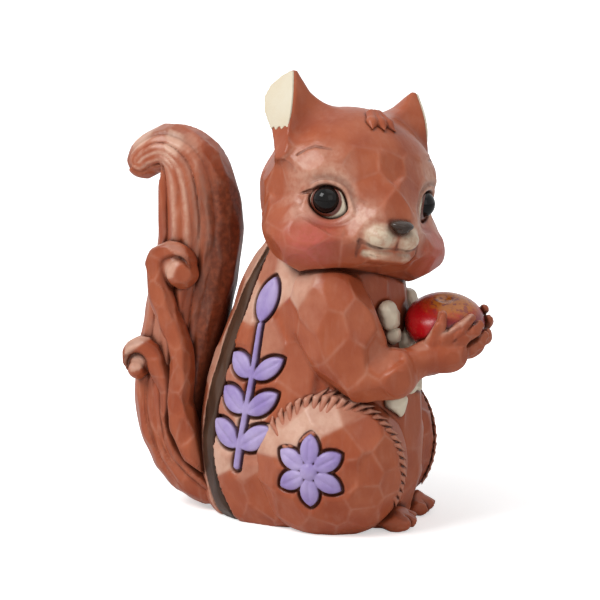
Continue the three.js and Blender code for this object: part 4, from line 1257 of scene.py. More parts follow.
def knife_marks(points, normals, clear, spacing, depth, grain, generator):
    """Moves of the surface onto whittled facets, nearness to a ridge, and each facet's tone and facing.

    The facets start from some of the clear points.
    """
    scaled = points * grain
    candidates = generator.permutation(clear)[:FACET_TRIES]
    chosen = [candidates[0]]
    for index in candidates[1:]:
        if (length(scaled[chosen] - scaled[index]) > spacing).all():
            chosen.append(index)
    seeds, facing = scaled[chosen], normals[chosen]
    facing = facing + generator.normal(0, FACET_SCATTER, facing.shape)
    facing /= length(facing)[:, None]
    tones = generator.random(len(chosen))
    drop = generator.uniform(-0.05, 0.1, len(chosen))
    move, ridge, tone = np.zeros(len(points)), np.zeros(len(points)), np.zeros(len(points))
    turned = np.zeros(points.shape)
    parts = max(1, len(points) * len(chosen) // PAIRS_AT_ONCE)
    for part in np.array_split(np.arange(len(points)), parts):
        gaps = ((scaled[part, None] - seeds[None]) ** 2).sum(2)
        gaps += TURN_WEIGHT * ((normals[part, None] - facing[None]) ** 2).sum(2)
        order = np.argsort(gaps, axis=1)[:, :4]
        near = np.take_along_axis(gaps, order, axis=1)
        between = length(seeds[order[:, 0]] - seeds[order[:, 1]]) + 0.5
        border = (near[:, 1:] - near[:, :1]) / (2 * between[:, None])
        share = np.exp(-np.column_stack([np.zeros(len(part)), border]) / FACET_BLEND)
        share /= share.sum(1)[:, None]
        height = np.einsum("ijk,ijk->ij", points[part, None] - points[chosen][order], facing[order])
        height = (share * np.clip(height + drop[order], -depth, depth)).sum(1)
        move[part] = -height
        ridge[part] = bell(border[:, 0], RIDGE_WIDTH)
        tone[part] = (share * tones[order]).sum(1)
        turned[part] = (share[:, :, None] * facing[order]).sum(1)
    return move, ridge, tone, turned


# Wash and painted shade: how far out the room before a point is felt, and the share of each
WASH_AND_SHADE_REACHES = ((0.5, 0.3), (1.2, 0.4), (2.6, 0.3))


def wash_and_shade_of(figure, points, normals):
    """How deep each point lies in a groove or corner of the whole figurine, or between its parts, from 0 to
    1; the paints lay umber there, partly as the wash of the carving and partly as painted shade.
    """
    shade = np.zeros(len(points))
    for reach, share in WASH_AND_SHADE_REACHES:
        gap = figure.gap_to_all(points + normals * reach)
        shade += share * np.clip(1 - gap / reach, 0, 1)
    return np.clip(shade, 0, 1)


# Way that the pale facets face, mirrored to both sides; it is the key lamp's way, so these facets are partly
# dry brushing and partly painted highlight
RUB_AND_HIGHLIGHT_WAY = unit((0.63, 0.32, 0.7))


def rub_and_highlight_mask(turned, tone):
    """Pale paint on the facets that face up and back on either side, towards the key lamp, more on some than
    on others: partly worn dry brushing, partly painted highlight.
    """
    facing = np.column_stack([np.abs(turned[:, 0]), turned[:, 1:]]) @ RUB_AND_HIGHLIGHT_WAY
    return fade(facing, 0.68, 0.93) * (0.3 + 0.7 * fade(tone, 0.1, 0.6))


# Share of the wash and shade mask above which the knife starts no facet, and the range over which it leaves
# off
SHELTERED = 0.3
CALM_START, CALM_END = 0.25, 0.6


def cast(
    context,
    name,
    slot,
    material,
    nodes=(),
    marks=1.0,
    grain=(1, 1, 1),
    fine=1.0,
    paint=None,
    still=None,
    rub_and_highlight=1.0,
):
    """Makes the mesh of one form, marks it with the knife, paints it and fits it to the frame.

    The piece takes the place of the CAD node of its own name, unless other nodes are named.
    """
    sizes = context.scene.figurine_sizes
    figure = Figure(sizes)
    form = figure.forms[name]
    step = sizes.mesh_step / MM * fine * 1
    points, normals, faces = carved_surface(form, step)
    # Depth in grooves, corners and between parts: it places umber, partly as wash and partly as painted
    # shade
    wash_and_shade_depths = wash_and_shade_of(figure, points, normals)
    layers = {"wash_and_shade": wash_and_shade_depths}
    generator = np.random.default_rng(sizes.carving_seed + sum(map(ord, name)))
    spacing, depth = sizes.mark_spacing / MM, sizes.mark_depth / MM
    if marks:
        clear = np.flatnonzero(wash_and_shade_depths < SHELTERED)
        move, layers["ridge"], layers["tone"], turned = knife_marks(
            points, normals, clear, spacing * marks, depth * marks, np.array(grain), generator
        )
        calm = within(wash_and_shade_depths, CALM_START, CALM_END)
        if still:
            calm = calm * (1 - still(figure, points))
        points = points + normals * (move * calm)[:, None]
        layers["ridge"] = layers["ridge"] * calm
        # Pale facets that face the key lamp: partly dry brushing, partly painted highlight
        layers["rub_and_highlight"] = rub_and_highlight_mask(turned, layers["tone"]) * rub_and_highlight
    if paint:
        layers.update(paint(figure, points))
    points = np.column_stack([points[:, :2], np.maximum(points[:, 2], 0)])
    place(name, points * MM, faces, layers, nodes or (name,), slot, material)


def place(name, points, faces, layers, nodes, slot, material):
    """Puts a finished mesh into the scene in place of CAD nodes."""
    mesh = bpy.data.meshes.new(name)
    mesh.from_pydata(points.tolist(), [], faces.tolist())
    mesh.polygons.foreach_set("use_smooth", np.ones(len(mesh.polygons), bool))
    for layer, values in layers.items():
        attribute = mesh.attributes.new(layer, "FLOAT", "POINT")
        attribute.data.foreach_set("value", np.asarray(values, np.float32))
    mesh.materials.append(material)
    mesh.update()
    piece = bpy.data.objects.new(f"{name}_carving", mesh)
    bpy.context.scene.collection.objects.link(piece)
    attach(piece, "root")
    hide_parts(*nodes)


# Materials
class Finish:
    """A node material under construction."""

    def __init__(self, name):
        self.material = bpy.data.materials.new(name)
        self.material.use_nodes = True
        self.tree = self.material.node_tree
        self.shader = self.tree.nodes["Principled BSDF"]
        self.place = self.add("ShaderNodeTexCoord").outputs["Object"]

    def add(self, kind, **settings):
        node = self.tree.nodes.new(kind)
        for key, value in settings.items():
            setattr(node, key, value)
        return node

    def link(self, source, socket):
        self.tree.links.new(source, socket)

    def layer(self, name):
        """A painted layer of the mesh."""
        return self.add("ShaderNodeAttribute", attribute_name=name).outputs["Fac"]

    def noise(self, scale, detail=3, stretch=(1, 1, 1)):
        """Soft random spots, that many to a metre."""
        mapping = self.add("ShaderNodeMapping")
        mapping.inputs["Scale"].default_value = stretch
        self.link(self.place, mapping.inputs["Vector"])
        texture = self.add("ShaderNodeTexNoise")
        texture.inputs["Scale"].default_value = scale
        texture.inputs["Detail"].default_value = detail
        self.link(mapping.outputs["Vector"], texture.inputs["Vector"])
        return texture.outputs["Fac"]

    def between(self, value, low, high, start=0.0, end=1.0):
        """A value moved from one range to another, and kept inside it."""
        node = self.add("ShaderNodeMapRange")
        self.link(value, node.inputs["Value"])
        for socket, number in zip(("From Min", "From Max", "To Min", "To Max"), (low, high, start, end)):
            node.inputs[socket].default_value = number
        return node.outputs["Result"]

    def times(self, a, b):
        node = self.add("ShaderNodeMath", operation="MULTIPLY")
        self.link(a, node.inputs[0])
        self.link(b, node.inputs[1])
        return node.outputs[0]

    def mix(self, share, under, over):
        """Lays one colour over another; either may be a link or a fixed colour."""
        node = self.add("ShaderNodeMix", data_type="RGBA")
        self.link(share, node.inputs[0])
        for value, socket in ((under, node.inputs[6]), (over, node.inputs[7])):
            if isinstance(value, bpy.types.NodeSocket):
                self.link(value, socket)
            else:
                socket.default_value = (*value, 1)
        return node.outputs[2]

    def finish(self, colour, roughness, bump, strength, distance):
        self.link(colour, self.shader.inputs["Base Color"])
        self.link(roughness, self.shader.inputs["Roughness"])
        node = self.add("ShaderNodeBump")
        node.inputs["Strength"].default_value = strength
        node.inputs["Distance"].default_value = distance
        self.link(bump, node.inputs["Height"])
        self.link(node.outputs["Normal"], self.shader.inputs["Normal"])
        return self.material


# Paints that several pieces share, by name
COATS = {}


def painted(name, colours, main, light, pale, extra=(), wash_and_shade_share=0.8):
    """Satin paint: mottled coat, dry brushed ridges, pale facets that are partly dry brushing and partly
    painted highlight, patches of other paints, and umber in the carving and between parts that is partly
    wash and partly painted shade.
    """
    if name in COATS:
        return COATS[name]
    main, light, pale = getattr(colours, main), getattr(colours, light), getattr(colours, pale)
    finish = Finish(name)
    clouds = finish.noise(170, 4)
    streaks = finish.noise(420, 3, (1.6, 1.6, 0.4))
    coat = finish.mix(finish.between(clouds, 0.35, 0.68), main, light)
    coat = finish.mix(finish.between(finish.layer("tone"), 0, 1, 0, 0.35), coat, light)
    coat = finish.mix(finish.between(streaks, 0.5, 0.75, 0, 0.08), coat, pale)
    broken = finish.between(finish.noise(260, 2), 0.35, 0.62, 0.03, 0.17)
    coat = finish.mix(finish.times(finish.layer("ridge"), broken), coat, pale)
    # Pale facets that face the key lamp: partly dry brushing, partly painted highlight
    worn_and_lit = finish.between(finish.noise(340, 3), 0.3, 0.6, 0.6, 0.95)
    coat = finish.mix(finish.times(finish.layer("rub_and_highlight"), worn_and_lit), coat, pale)
    for layer, paint in extra:
        patchy = finish.between(finish.noise(900, 3), 0.34, 0.6, 0.55, 1)
        coat = finish.mix(finish.times(finish.layer(layer), patchy), coat, getattr(colours, paint))
    # Umber in grooves, corners and between parts: partly the wash of the carving, partly painted shade
    wash_and_shade = finish.between(finish.layer("wash_and_shade"), 0.16, 0.75, 0, wash_and_shade_share)
    coat = finish.mix(wash_and_shade, coat, colours.umber)
    roughness = finish.between(clouds, 0.3, 0.7, 0.3, 0.42)
    finish.shader.inputs["Specular IOR Level"].default_value = 0.27
    COATS[name] = finish.finish(coat, roughness, finish.noise(1500, 4), 0.12, 0.0004)
    return COATS[name]


def russet(colours):
    # Dark lines in umber, which on the tail's body side also stand for painted shade
    extra = (("frost", "russet_pale"), ("blush", "blush"), ("cream", "ivory"), ("rim", "umber"))
    return painted("russet_coat", colours, "russet", "russet_light", "russet_pale", extra)


def ivory(colours):
    return painted("ivory_coat", colours, "ivory", "ivory_light", "ivory_light", wash_and_shade_share=0.4)


def lavender(colours):
    return painted("lavender_coat", colours, "lavender", "lavender_light", "lavender_light")


def band(colours):
    return painted("band_coat", colours, "band", "band_light", "band_light")


def eye_gloss(colours):
    finish = Finish("eye_gloss_coat")
    clouds = finish.noise(500, 2)
    colour = finish.mix(finish.between(clouds, 0.3, 0.7, 0, 0.15), colours.eye_black, colours.nose)
    finish.shader.inputs["Specular IOR Level"].default_value = 0.18
    return finish.finish(colour, finish.between(clouds, 0.3, 0.7, 0.08, 0.14), clouds, 0.02, 0.0001)


def eye_white(colours):
    finish = Finish("eye_white_coat")
    clouds = finish.noise(600, 3)
    colour = finish.mix(clouds, colours.ivory, colours.ivory_light)
    colour = finish.mix(finish.layer("iris"), colour, colours.iris)
    # Umber in the corners of the eye: partly wash, partly painted shade
    colour = finish.mix(finish.between(finish.layer("wash_and_shade"), 0.3, 0.9, 0, 0.55), colour, colours.umber)
    return finish.finish(colour, finish.between(clouds, 0.3, 0.7, 0.2, 0.3), clouds, 0.03, 0.0002)


def nose_paint(colours):
    finish = Finish("nose_paint_coat")
    clouds = finish.noise(900, 3)
    colour = finish.mix(finish.between(clouds, 0.35, 0.7, 0, 0.4), colours.nose, colours.band)
    finish.shader.inputs["Specular IOR Level"].default_value = 0.35
    # Umber in the nostrils and where the nose meets the muzzle: partly wash, partly painted shade
    colour = finish.mix(finish.between(finish.layer("wash_and_shade"), 0.25, 0.8, 0, 0.7), colour, colours.umber)
    return finish.finish(colour, finish.between(clouds, 0.3, 0.7, 0.22, 0.34), clouds, 0.08, 0.0003)


def apple_paint(colours):
    finish = Finish("apple_paint_coat")
    patches = finish.noise(420, 4)
    specks = finish.noise(1600, 2)
    # Plum stands for painted shade on the far side of the apple
    ripe = finish.mix(finish.layer("plum_shade"), colours.apple_red, colours.apple_plum)
    ripe = finish.mix(finish.layer("ochre"), ripe, colours.apple_ochre)
    mottled = finish.between(patches, 0.46, 0.62, 0, 0.8)
    ripe = finish.mix(finish.times(mottled, finish.layer("mottle")), ripe, colours.apple_red)
    ripe = finish.mix(finish.between(specks, 0.62, 0.75, 0, 0.45), ripe, colours.apple_ochre)
    brown = finish.between(finish.noise(1100, 3), 0.52, 0.62, 0, 0.8)
    ripe = finish.mix(finish.times(brown, finish.layer("ochre")), ripe, colours.apple_plum)
    ripe = finish.mix(finish.times(brown, finish.layer("dimple")), ripe, colours.umber)
    # Umber in the dimples and where the hands hold the apple: partly wash, partly painted shade
    colour = finish.mix(finish.between(finish.layer("wash_and_shade"), 0.3, 0.85, 0, 0.9), ripe, colours.umber)
    finish.shader.inputs["Specular IOR Level"].default_value = 0.3
    return finish.finish(colour, finish.between(patches, 0.3, 0.7, 0.18, 0.32), specks, 0.05, 0.0003)


def steel_finish(colours):
    finish = Finish("dowel_steel_coat")
    lines = finish.noise(900, 2, (1, 1, 0.05))
    colour = finish.mix(finish.between(lines, 0.3, 0.7), colours.steel, colours.floor)
    finish.shader.inputs["Metallic"].default_value = 1
    return finish.finish(colour, finish.between(lines, 0.3, 0.7, 0.3, 0.45), lines, 0.05, 0.0002)


# Where the knife leaves a surface smooth, from 0 to 1
def wrist_still(figure, points):
    """Wrists, where the knife leaves the forearms and hands flush."""
    gaps = [length(points - figure.wrist(side)) for side in (-1, 1)]
    return within(np.minimum(*gaps), 4.5, 7.5)


def body_still(figure, points):
    """Wrists and edges of the sprigs, which the knife leaves flush."""
    gap, _ = figure.sprig_gap(points)
    edge = within(gap, 0.6, 1.8) * (np.abs(figure.body_skin(points)) < 1.5)
    return np.maximum(wrist_still(figure, points), edge)


def haunch_still(side):
    def still(figure, points):
        """Edge of the flower, which the knife leaves flush."""
        petals, _, boss = figure.flower_gap(points, side)
        return within(np.minimum(petals, boss), 0.6, 1.8) * (points[:, 0] * side > FLOWER_INNER)

    return still


def head_still(figure, points):
    """Ears, muzzle, brows and the rims of the eyes, which the knife leaves smooth."""
    local = figure.to_head(points)
    still = np.zeros(len(points))
    for side in (-1, 1):
        still = np.maximum(still, within(figure.eye_white(local, side), 1.5, 3.5))
        still = np.maximum(still, within(figure.lip(local, side), 0.5, 2))
        still = np.maximum(still, within(figure.brow_line(local, side), 0.4, 1.6))
        still = np.maximum(still, within(figure.ear_place(local, side)[0], 0.9, 1.1))
    return still


# Layers of paint, each from 0 to 1; first the pale paint around an eye: degrees from the nose side over
# the top, how strong it is there, and how far it reaches
FROST_TURNS = (-180, -150, -120, -90, -50, -25, 0, 45, 90, 135, 165, 180)
FROST_SHARES = (0.4, 0.75, 0.4, 0.1, 0.2, 0.65, 0.8, 0.7, 0.8, 0.65, 0.45, 0.4)
FROST_REACH = (4.4, 4.4, 3.2, 1.6, 2.4, 3.4, 3.4, 3.8, 6.0, 6.0, 4.6, 4.2)

# Middles of the frosted snout, the blush and the ochre of the apple, as directions
SNOUT_FROST_WAY = (0.34, -0.91, -0.28)
BLUSH_WAY = (0.65, -0.56, -0.51)
OCHRE_WAY = (-0.25, -0.3, 0.92)


def eye_frost(figure, local, side):
    """Dry brushed ring around an eye, strongest over its top and towards the nose."""
    centre, axes = figure.beside_eye(side, 0)
    offset = (local - centre) @ axes
    turn = np.degrees(np.arctan2(offset[:, 2], offset[:, 0] * side))
    reach = np.interp(turn, FROST_TURNS, FROST_REACH)
    gap = figure.eye_white(local, side)
    before = offset[:, 1] > -8
    strong = np.interp(turn, FROST_TURNS, FROST_SHARES)
    return before * strong * within(gap, reach * 0.4, reach * 1.1)


def head_paint(figure, points):
    """Ivory muzzle, rose cheeks, frosted brows and dark rims of the eyes."""
    local = figure.to_head(points)
    way = local / length(local)[:, None]
    cream, frost, blush, rim = np.zeros((4, len(points)))
    for side in (-1, 1):
        cream = np.maximum(cream, within(figure.lip(local, side), -0.2, 1.2))
    chin = within(figure.chin(local), 0.0, 0.7) * fade(local[:, 2], -13.2, -12.2)
    cream = 0.85 * np.maximum(cream, 0.9 * chin)
    for side in (-1, 1):
        frost = np.maximum(frost, eye_frost(figure, local, side))
        frost = np.maximum(frost, 0.8 * bell(angle_to(way, mirrored(SNOUT_FROST_WAY, side)), 0.18))
        blush = np.maximum(blush, 0.68 * bell(angle_to(way, mirrored(BLUSH_WAY, side)), 0.22))
        rim = np.maximum(rim, 0.85 * within(figure.eye_white(local, side), 0.18, 0.38))
        rim = np.maximum(rim, 0.45 * within(figure.brow_line(local, side), 0, 0.2))
        rim = np.maximum(rim, 0.5 * within(figure.mouth_fold(local, side), 0, 0.35))
    rim = np.maximum(rim, 0.9 * within(figure.mouth_line(local), 0.1, 0.3))
    return {"cream": cream, "frost": frost * (1 - cream), "blush": blush * (1 - cream), "rim": rim}


# Dark outline of the painted relief: how dark, and over which gap it fades
OUTLINE_DARK = 0.85
OUTLINE_FADE = (0.35, 0.75)


def torso_paint(figure, points):
    """Pale edge of each stripe on the side of the spine, and dark outlines of the sprigs."""
    turn, _ = figure.around_body(points)
    edge = bell(figure.stripe_gap(points) - 0.5, 0.4) * (turn < 40)
    gap, _ = figure.sprig_gap(points)
    outline = within(gap, *OUTLINE_FADE) * (np.abs(figure.body_skin(points)) < 1.5)
    return {"frost": 0.7 * edge * (points[:, 1] > 0), "rim": OUTLINE_DARK * outline}


def haunch_paint(side):
    def paint(figure, points):
        """Dark outline of the flower."""
        petals, _, boss = figure.flower_gap(points, side)
        outline = within(np.minimum(petals, boss), *OUTLINE_FADE)
        return {"rim": OUTLINE_DARK * outline * (points[:, 0] * side > FLOWER_INNER)}

    return paint


def fringe_paint(side):
    def paint(figure, points):
        """Pale tips of the fur."""
        tip = fade(figure.haunch_skin(points, side), 0.2, 1.2)
        return {"frost": (0.3 + 0.4 * tip) * (0.7 + 0.3 * fade(points[:, 2], 20, 30))}

    return paint


# Pale crests of the tail: place across it, from its outer edge, and strength
TAIL_CRESTS = ((0.32, 0.6), (0.475, 0.7), (0.6, 0.4), (0.73, 0.3))


def tail_paint(figure, points):
    """Pale crests between the upper locks of the tail, and umber on its body side, partly paint and partly
    painted shade.
    """
    place, share, *_ = figure.tail_place(points)
    frost = np.zeros(len(points))
    for at, strong in TAIL_CRESTS:
        frost = np.maximum(frost, strong * bell(share - at, 0.035))
    frost *= fade(place, 0.5, 0.7)
    # Umber on the side that faces the body, up to the last part of the tail: partly paint, partly painted
    # shade
    return {"frost": frost, "rim": 0.7 * fade(share, 0.4, 0.9) * within(place, 0.78, 0.9)}


def eye_paint(side):
    def paint(figure, points):
        """Dark ring around the ball of the eye."""
        local = figure.to_head(points)
        middle, axes = figure.eye_axes(side)
        offset = (local - middle) @ axes
        from_middle = np.hypot(offset[:, 0] - 0.05 * side, offset[:, 2] + 0.15)
        return {"iris": within(from_middle, 3.0, 3.2)}

    return paint


def hand_paint(side):
    def paint(figure, points):
        """Pale lines along the thumb and over the first finger."""
        thumb = figure.digit(side, THUMB_PLACES[1:], turned=8, lift=1.5)
        finger = figure.digit(side, FINGER_PLACES[0][1:], raised=9, lift=1.5)
        gap = np.minimum(stroke(points, thumb, [0, 0, 0]), stroke(points, finger, [0, 0, 0]))
        return {"frost": 0.85 * bell(gap, 0.5)}

    return paint


def apple_ripeness(figure, points):
    """Ochre around the dimple, plum as painted shade on the far side, mottled between."""
    offset = (points - figure.apple) / (figure.apple_radius, figure.apple_radius, APPLE_HALF_HEIGHT)
    way = offset / length(offset)[:, None]
    ochre = within(angle_to(way, OCHRE_WAY), 0.45, 1.0)
    dimple = bell(length(way - APPLE_AXES[:, 2]), 0.28)
    # Plum on the far side is painted shade
    plum_shade = fade(-way[:, 1], 0.1, 0.85) * (1 - ochre)
    return {"ochre": ochre, "mottle": ochre * (1 - ochre) * 4, "dimple": dimple, "plum_shade": plum_shade}


class FigurineOperator:
    """What every making step shares."""

    bl_options = {"REGISTER", "UNDO"}

    def colours(self, context):
        return context.scene.figurine_colours


class FIGURINE_OT_body(FigurineOperator, bpy.types.Operator):
    """Carve the body with its arms, and both haunches"""

    bl_idname = "figurine.body"
    bl_label = "Body, Arms and Haunches"

    def execute(self, context):
        paint = russet(self.colours(context))
        cast(
            context,
            "torso",
            "russet_paint",
            paint,
            nodes=("torso", "arm_right", "arm_left"),
            grain=(1, 1, 0.7),
            paint=torso_paint,
            still=body_still,
        )
        for label, side in SIDES.items():
            lines, still = haunch_paint(side), haunch_still(side)
            cast(context, f"haunch_{label}", "russet_paint", paint, paint=lines, still=still)
        return {"FINISHED"}


class FIGURINE_OT_head(FigurineOperator, bpy.types.Operator):
    """Carve the head with its ears, muzzle and lids"""

    bl_idname = "figurine.head"
    bl_label = "Head and Ears"

    def execute(self, context):
        paint = russet(self.colours(context))
        cast(
            context,
            "head",
            "russet_paint",
            paint,
            nodes=("head", "ear_right", "ear_left"),
            fine=0.75,
            paint=head_paint,
            still=head_still,
            rub_and_highlight=0,
        )
        cast(context, "forelock", "russet_paint", paint, marks=0, fine=0.7)
        return {"FINISHED"}


class FIGURINE_OT_linings(FigurineOperator, bpy.types.Operator):
    """Set the pale linings into the ears"""

    bl_idname = "figurine.linings"
    bl_label = "Ear Linings"

    def execute(self, context):
        paint = ivory(self.colours(context))
        for label in SIDES:
            cast(context, f"ear_lining_{label}", "cream_paint", paint, marks=0, fine=0.7)
        return {"FINISHED"}


class FIGURINE_OT_eyes(FigurineOperator, bpy.types.Operator):
    """Set the glossy eyes and their pale rims"""

    bl_idname = "figurine.eyes"
    bl_label = "Eyes"

    def execute(self, context):
        colours = self.colours(context)
        gloss, white = eye_gloss(colours), eye_white(colours)
        for label, side in SIDES.items():
            cast(context, f"eye_{label}", "eye_gloss", gloss, marks=0, fine=0.5)
            cast(context, f"eye_rim_{label}", "cream_paint", white, marks=0, fine=0.6, paint=eye_paint(side))
        return {"FINISHED"}


class FIGURINE_OT_nose(FigurineOperator, bpy.types.Operator):
    """Shape the nose"""

    bl_idname = "figurine.nose"
    bl_label = "Nose"

    def execute(self, context):
        paint = nose_paint(self.colours(context))
        cast(context, "nose", "nose_paint", paint, marks=0, fine=0.6)
        return {"FINISHED"}


class FIGURINE_OT_tail(FigurineOperator, bpy.types.Operator):
    """Carve the fluted tail and its four curls"""

    bl_idname = "figurine.tail"
    bl_label = "Tail and Curls"

    def execute(self, context):
        paint = russet(self.colours(context))
        cast(context, "tail", "russet_paint", paint, marks=0.5, grain=(1, 1, 0.35), paint=tail_paint)
        for label in SIDES:
            for name in CURLS:
                cast(context, f"tail_curl_{name}_{label}", "russet_paint", paint, marks=0.6)
        return {"FINISHED"}


class FIGURINE_OT_hands(FigurineOperator, bpy.types.Operator):
    """Carve the hands around the apple"""

    bl_idname = "figurine.hands"
    bl_label = "Hands"

    def execute(self, context):
        paint = russet(self.colours(context))
        for label, side in SIDES.items():
            cast(
                context,
                f"hand_{label}",
                "russet_paint",
                paint,
                marks=0.5,
                fine=0.7,
                paint=hand_paint(side),
                still=wrist_still,
                # Weaker pale facets that face the key lamp: partly dry brushing, partly painted highlight
                rub_and_highlight=0.3,
            )
        return {"FINISHED"}


class FIGURINE_OT_feet(FigurineOperator, bpy.types.Operator):
    """Carve the feet with their toes"""

    bl_idname = "figurine.feet"
    bl_label = "Feet"

    def execute(self, context):
        paint = russet(self.colours(context))
        for label in SIDES:
            cast(context, f"foot_{label}", "russet_paint", paint, marks=0.6)
        return {"FINISHED"}


class FIGURINE_OT_apple(FigurineOperator, bpy.types.Operator):
    """Shape the apple with its dimples"""

    bl_idname = "figurine.apple"
    bl_label = "Apple"

    def execute(self, context):
        paint = apple_paint(self.colours(context))
        cast(context, "apple", "apple_paint", paint, marks=0, paint=apple_ripeness)
        return {"FINISHED"}


class FIGURINE_OT_markings(FigurineOperator, bpy.types.Operator):
    """Carve the stripes of the back, the bib and the fur on the haunches"""

    bl_idname = "figurine.markings"
    bl_label = "Stripes, Bib and Fringes"

    def execute(self, context):
        colours = self.colours(context)
        dark, coat = band(colours), russet(colours)
        cast(context, "bib", "cream_paint", ivory(colours), marks=0.6, fine=0.8)
        for label, side in SIDES.items():
            cast(context, f"back_stripe_{label}", "dark_band_paint", dark, marks=0.5, grain=(1, 1, 0.4))
            fringe, tips = f"haunch_fringe_{label}", fringe_paint(side)
            cast(context, fringe, "russet_paint", coat, marks=0, fine=0.6, paint=tips)
        return {"FINISHED"}


class FIGURINE_OT_relief(FigurineOperator, bpy.types.Operator):
    """Carve the leaf sprigs of the flanks and the flowers of the haunches"""

    bl_idname = "figurine.relief"
    bl_label = "Sprigs and Flowers"

    def execute(self, context):
        paint = lavender(self.colours(context))
        for label in SIDES:
            for name in ("flank_sprig", "haunch_flower"):
                cast(context, f"{name}_{label}", "lavender_paint", paint, marks=0, fine=0.8)
        return {"FINISHED"}


class FIGURINE_OT_dowels(FigurineOperator, bpy.types.Operator):
    """Give the dowels inside the figurine a steel finish"""

    bl_idname = "figurine.dowels"
    bl_label = "Dowels"

    def execute(self, context):
        steel = steel_finish(self.colours(context))
        for name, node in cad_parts.items():
            if "dowel" in name:
                node.data.materials.clear()
                node.data.materials.append(steel)
        return {"FINISHED"}


# Stage: the view in degrees and metres, and each lamp's name, azimuth, elevation, distance, size and power
VIEW_TARGET = Vector((0, 0, 0.044))
VIEW_AZIMUTH = math.radians(-72)
VIEW_ELEVATION = math.radians(11)
VIEW_DISTANCE = 0.62
VIEW_FIELD = 0.12
VIEW_SET_LEFT = 0.005
FLOOR_HALF = 3.0
FLOOR_GLOW = (0.5, 1)
FLOOR_GLOW_REACH = (0.03, 0.12)
WORLD_LIGHT = 0.3
LAMPS = (
    ("key_lamp", -128, 44, 0.7, 0.3, 3.4),
    ("fill_lamp", -40, 25, 0.8, 0.5, 0.8),
    ("top_lamp", 30, 72, 0.7, 0.6, 0.9),
)


def direction(azimuth, elevation):
    """Way from the object to a camera or lamp."""
    flat = math.cos(elevation)
    return Vector((math.sin(azimuth) * flat, -math.cos(azimuth) * flat, math.sin(elevation)))


def aim(thing, target):
    """Turns a lamp or camera towards a point."""
    thing.rotation_euler = (target - thing.location).to_track_quat("-Z", "Y").to_euler()


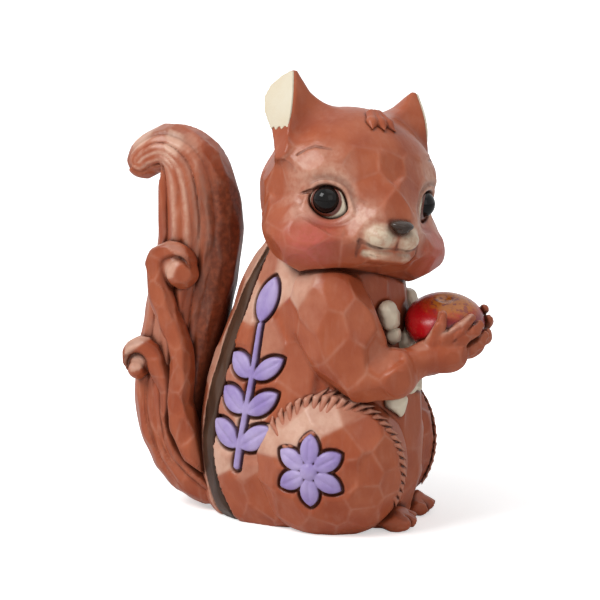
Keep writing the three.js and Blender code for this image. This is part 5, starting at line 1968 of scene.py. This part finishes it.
class FIGURINE_OT_stage(FigurineOperator, bpy.types.Operator):
    """Set the floor, the lamps, the world and the camera"""

    bl_idname = "figurine.stage"
    bl_label = "Stage"

    def execute(self, context):
        scene = context.scene
        self.make_floor(scene)
        self.make_world(scene)
        for name, azimuth, elevation, distance, size, power in LAMPS:
            lamp = bpy.data.lights.new(name, "AREA")
            lamp.size = size
            lamp.energy = power
            thing = bpy.data.objects.new(name, lamp)
            way = direction(math.radians(azimuth), math.radians(elevation))
            thing.location = VIEW_TARGET + way * distance
            aim(thing, VIEW_TARGET)
            scene.collection.objects.link(thing)
        self.make_camera(scene)
        scene.view_settings.view_transform = "Standard"
        return {"FINISHED"}

    def make_camera(self, scene):
        camera = bpy.data.cameras.new("photo_camera")
        camera.sensor_width = 36
        camera.lens = camera.sensor_width * VIEW_DISTANCE / VIEW_FIELD
        thing = bpy.data.objects.new("photo_camera", camera)
        left = Vector((-math.cos(VIEW_AZIMUTH), -math.sin(VIEW_AZIMUTH), 0))
        target = VIEW_TARGET + left * VIEW_SET_LEFT
        thing.location = target + direction(VIEW_AZIMUTH, VIEW_ELEVATION) * VIEW_DISTANCE
        aim(thing, target)
        scene.collection.objects.link(thing)
        scene.camera = thing

    def make_floor(self, scene):
        mesh = bpy.data.meshes.new("floor")
        corners = [(FLOOR_HALF * x, FLOOR_HALF * y, 0) for x, y in ((-1, -1), (1, -1), (1, 1), (-1, 1))]
        mesh.from_pydata(corners, [], [(0, 1, 2, 3)])
        floor = bpy.data.objects.new("floor", mesh)
        scene.collection.objects.link(floor)
        mesh.materials.append(self.floor_material(scene.figurine_colours))

    def floor_material(self, colours):
        finish = Finish("floor_paper")
        grain = finish.noise(300, 3)
        colour = finish.mix(finish.between(grain, 0.3, 0.7, 0, 0.3), colours.floor, (1, 1, 1))
        finish.finish(colour, finish.between(grain, 0.3, 0.7, 0.8, 0.95), grain, 0.02, 0.0005)
        finish.shader.inputs["Emission Color"].default_value = (1, 1, 1, 1)
        seen = finish.add("ShaderNodeLightPath").outputs["Is Camera Ray"]
        far = finish.add("ShaderNodeVectorMath", operation="LENGTH")
        finish.link(finish.place, far.inputs[0])
        glow = finish.times(finish.between(far.outputs["Value"], *FLOOR_GLOW_REACH, *FLOOR_GLOW), seen)
        finish.link(glow, finish.shader.inputs["Emission Strength"])
        return finish.material

    def make_world(self, scene):
        world = bpy.data.worlds.new("studio")
        world.use_nodes = True
        tree = world.node_tree
        background = tree.nodes["Background"]
        background.inputs["Color"].default_value = (1, 1, 1, 1)
        rays = tree.nodes.new("ShaderNodeLightPath")
        total = None
        for name in ("Is Camera Ray", "Is Glossy Ray", "Is Transmission Ray"):
            if total is None:
                total = rays.outputs[name]
                continue
            add = tree.nodes.new("ShaderNodeMath")
            add.operation = "ADD"
            add.use_clamp = True
            tree.links.new(total, add.inputs[0])
            tree.links.new(rays.outputs[name], add.inputs[1])
            total = add.outputs[0]
        strength = tree.nodes.new("ShaderNodeMapRange")
        strength.inputs["To Min"].default_value = WORLD_LIGHT
        strength.inputs["To Max"].default_value = 1.0
        tree.links.new(total, strength.inputs["Value"])
        tree.links.new(strength.outputs["Result"], background.inputs["Strength"])
        scene.world = world


OPERATORS = (
    FIGURINE_OT_body,
    FIGURINE_OT_head,
    FIGURINE_OT_linings,
    FIGURINE_OT_eyes,
    FIGURINE_OT_nose,
    FIGURINE_OT_tail,
    FIGURINE_OT_hands,
    FIGURINE_OT_feet,
    FIGURINE_OT_apple,
    FIGURINE_OT_markings,
    FIGURINE_OT_relief,
    FIGURINE_OT_dowels,
    FIGURINE_OT_stage,
)


class FIGURINE_PT_panel(bpy.types.Panel):
    """Lists the making steps in the sidebar"""

    bl_label = "Chipmunk Figurine"
    bl_idname = "FIGURINE_PT_panel"
    bl_space_type = "VIEW_3D"
    bl_region_type = "UI"
    bl_category = "Figurine"

    def draw(self, context):
        for group in (context.scene.figurine_sizes, context.scene.figurine_colours):
            column = self.layout.column()
            for name in group.__annotations__:
                column.prop(group, name)
        for operator in OPERATORS:
            self.layout.operator(operator.bl_idname)


CLASSES = (FigurineSizes, FigurineColours, *OPERATORS, FIGURINE_PT_panel)


def register():
    for item in CLASSES:
        bpy.utils.register_class(item)
    bpy.types.Scene.figurine_sizes = PointerProperty(type=FigurineSizes)
    bpy.types.Scene.figurine_colours = PointerProperty(type=FigurineColours)


def unregister():
    del bpy.types.Scene.figurine_colours
    del bpy.types.Scene.figurine_sizes
    for item in reversed(CLASSES):
        bpy.utils.unregister_class(item)


def main():
    register()
    for operator in OPERATORS:
        group, name = operator.bl_idname.split(".")
        getattr(getattr(bpy.ops, group), name)()
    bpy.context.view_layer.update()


if __name__ == "__main__":
    main()
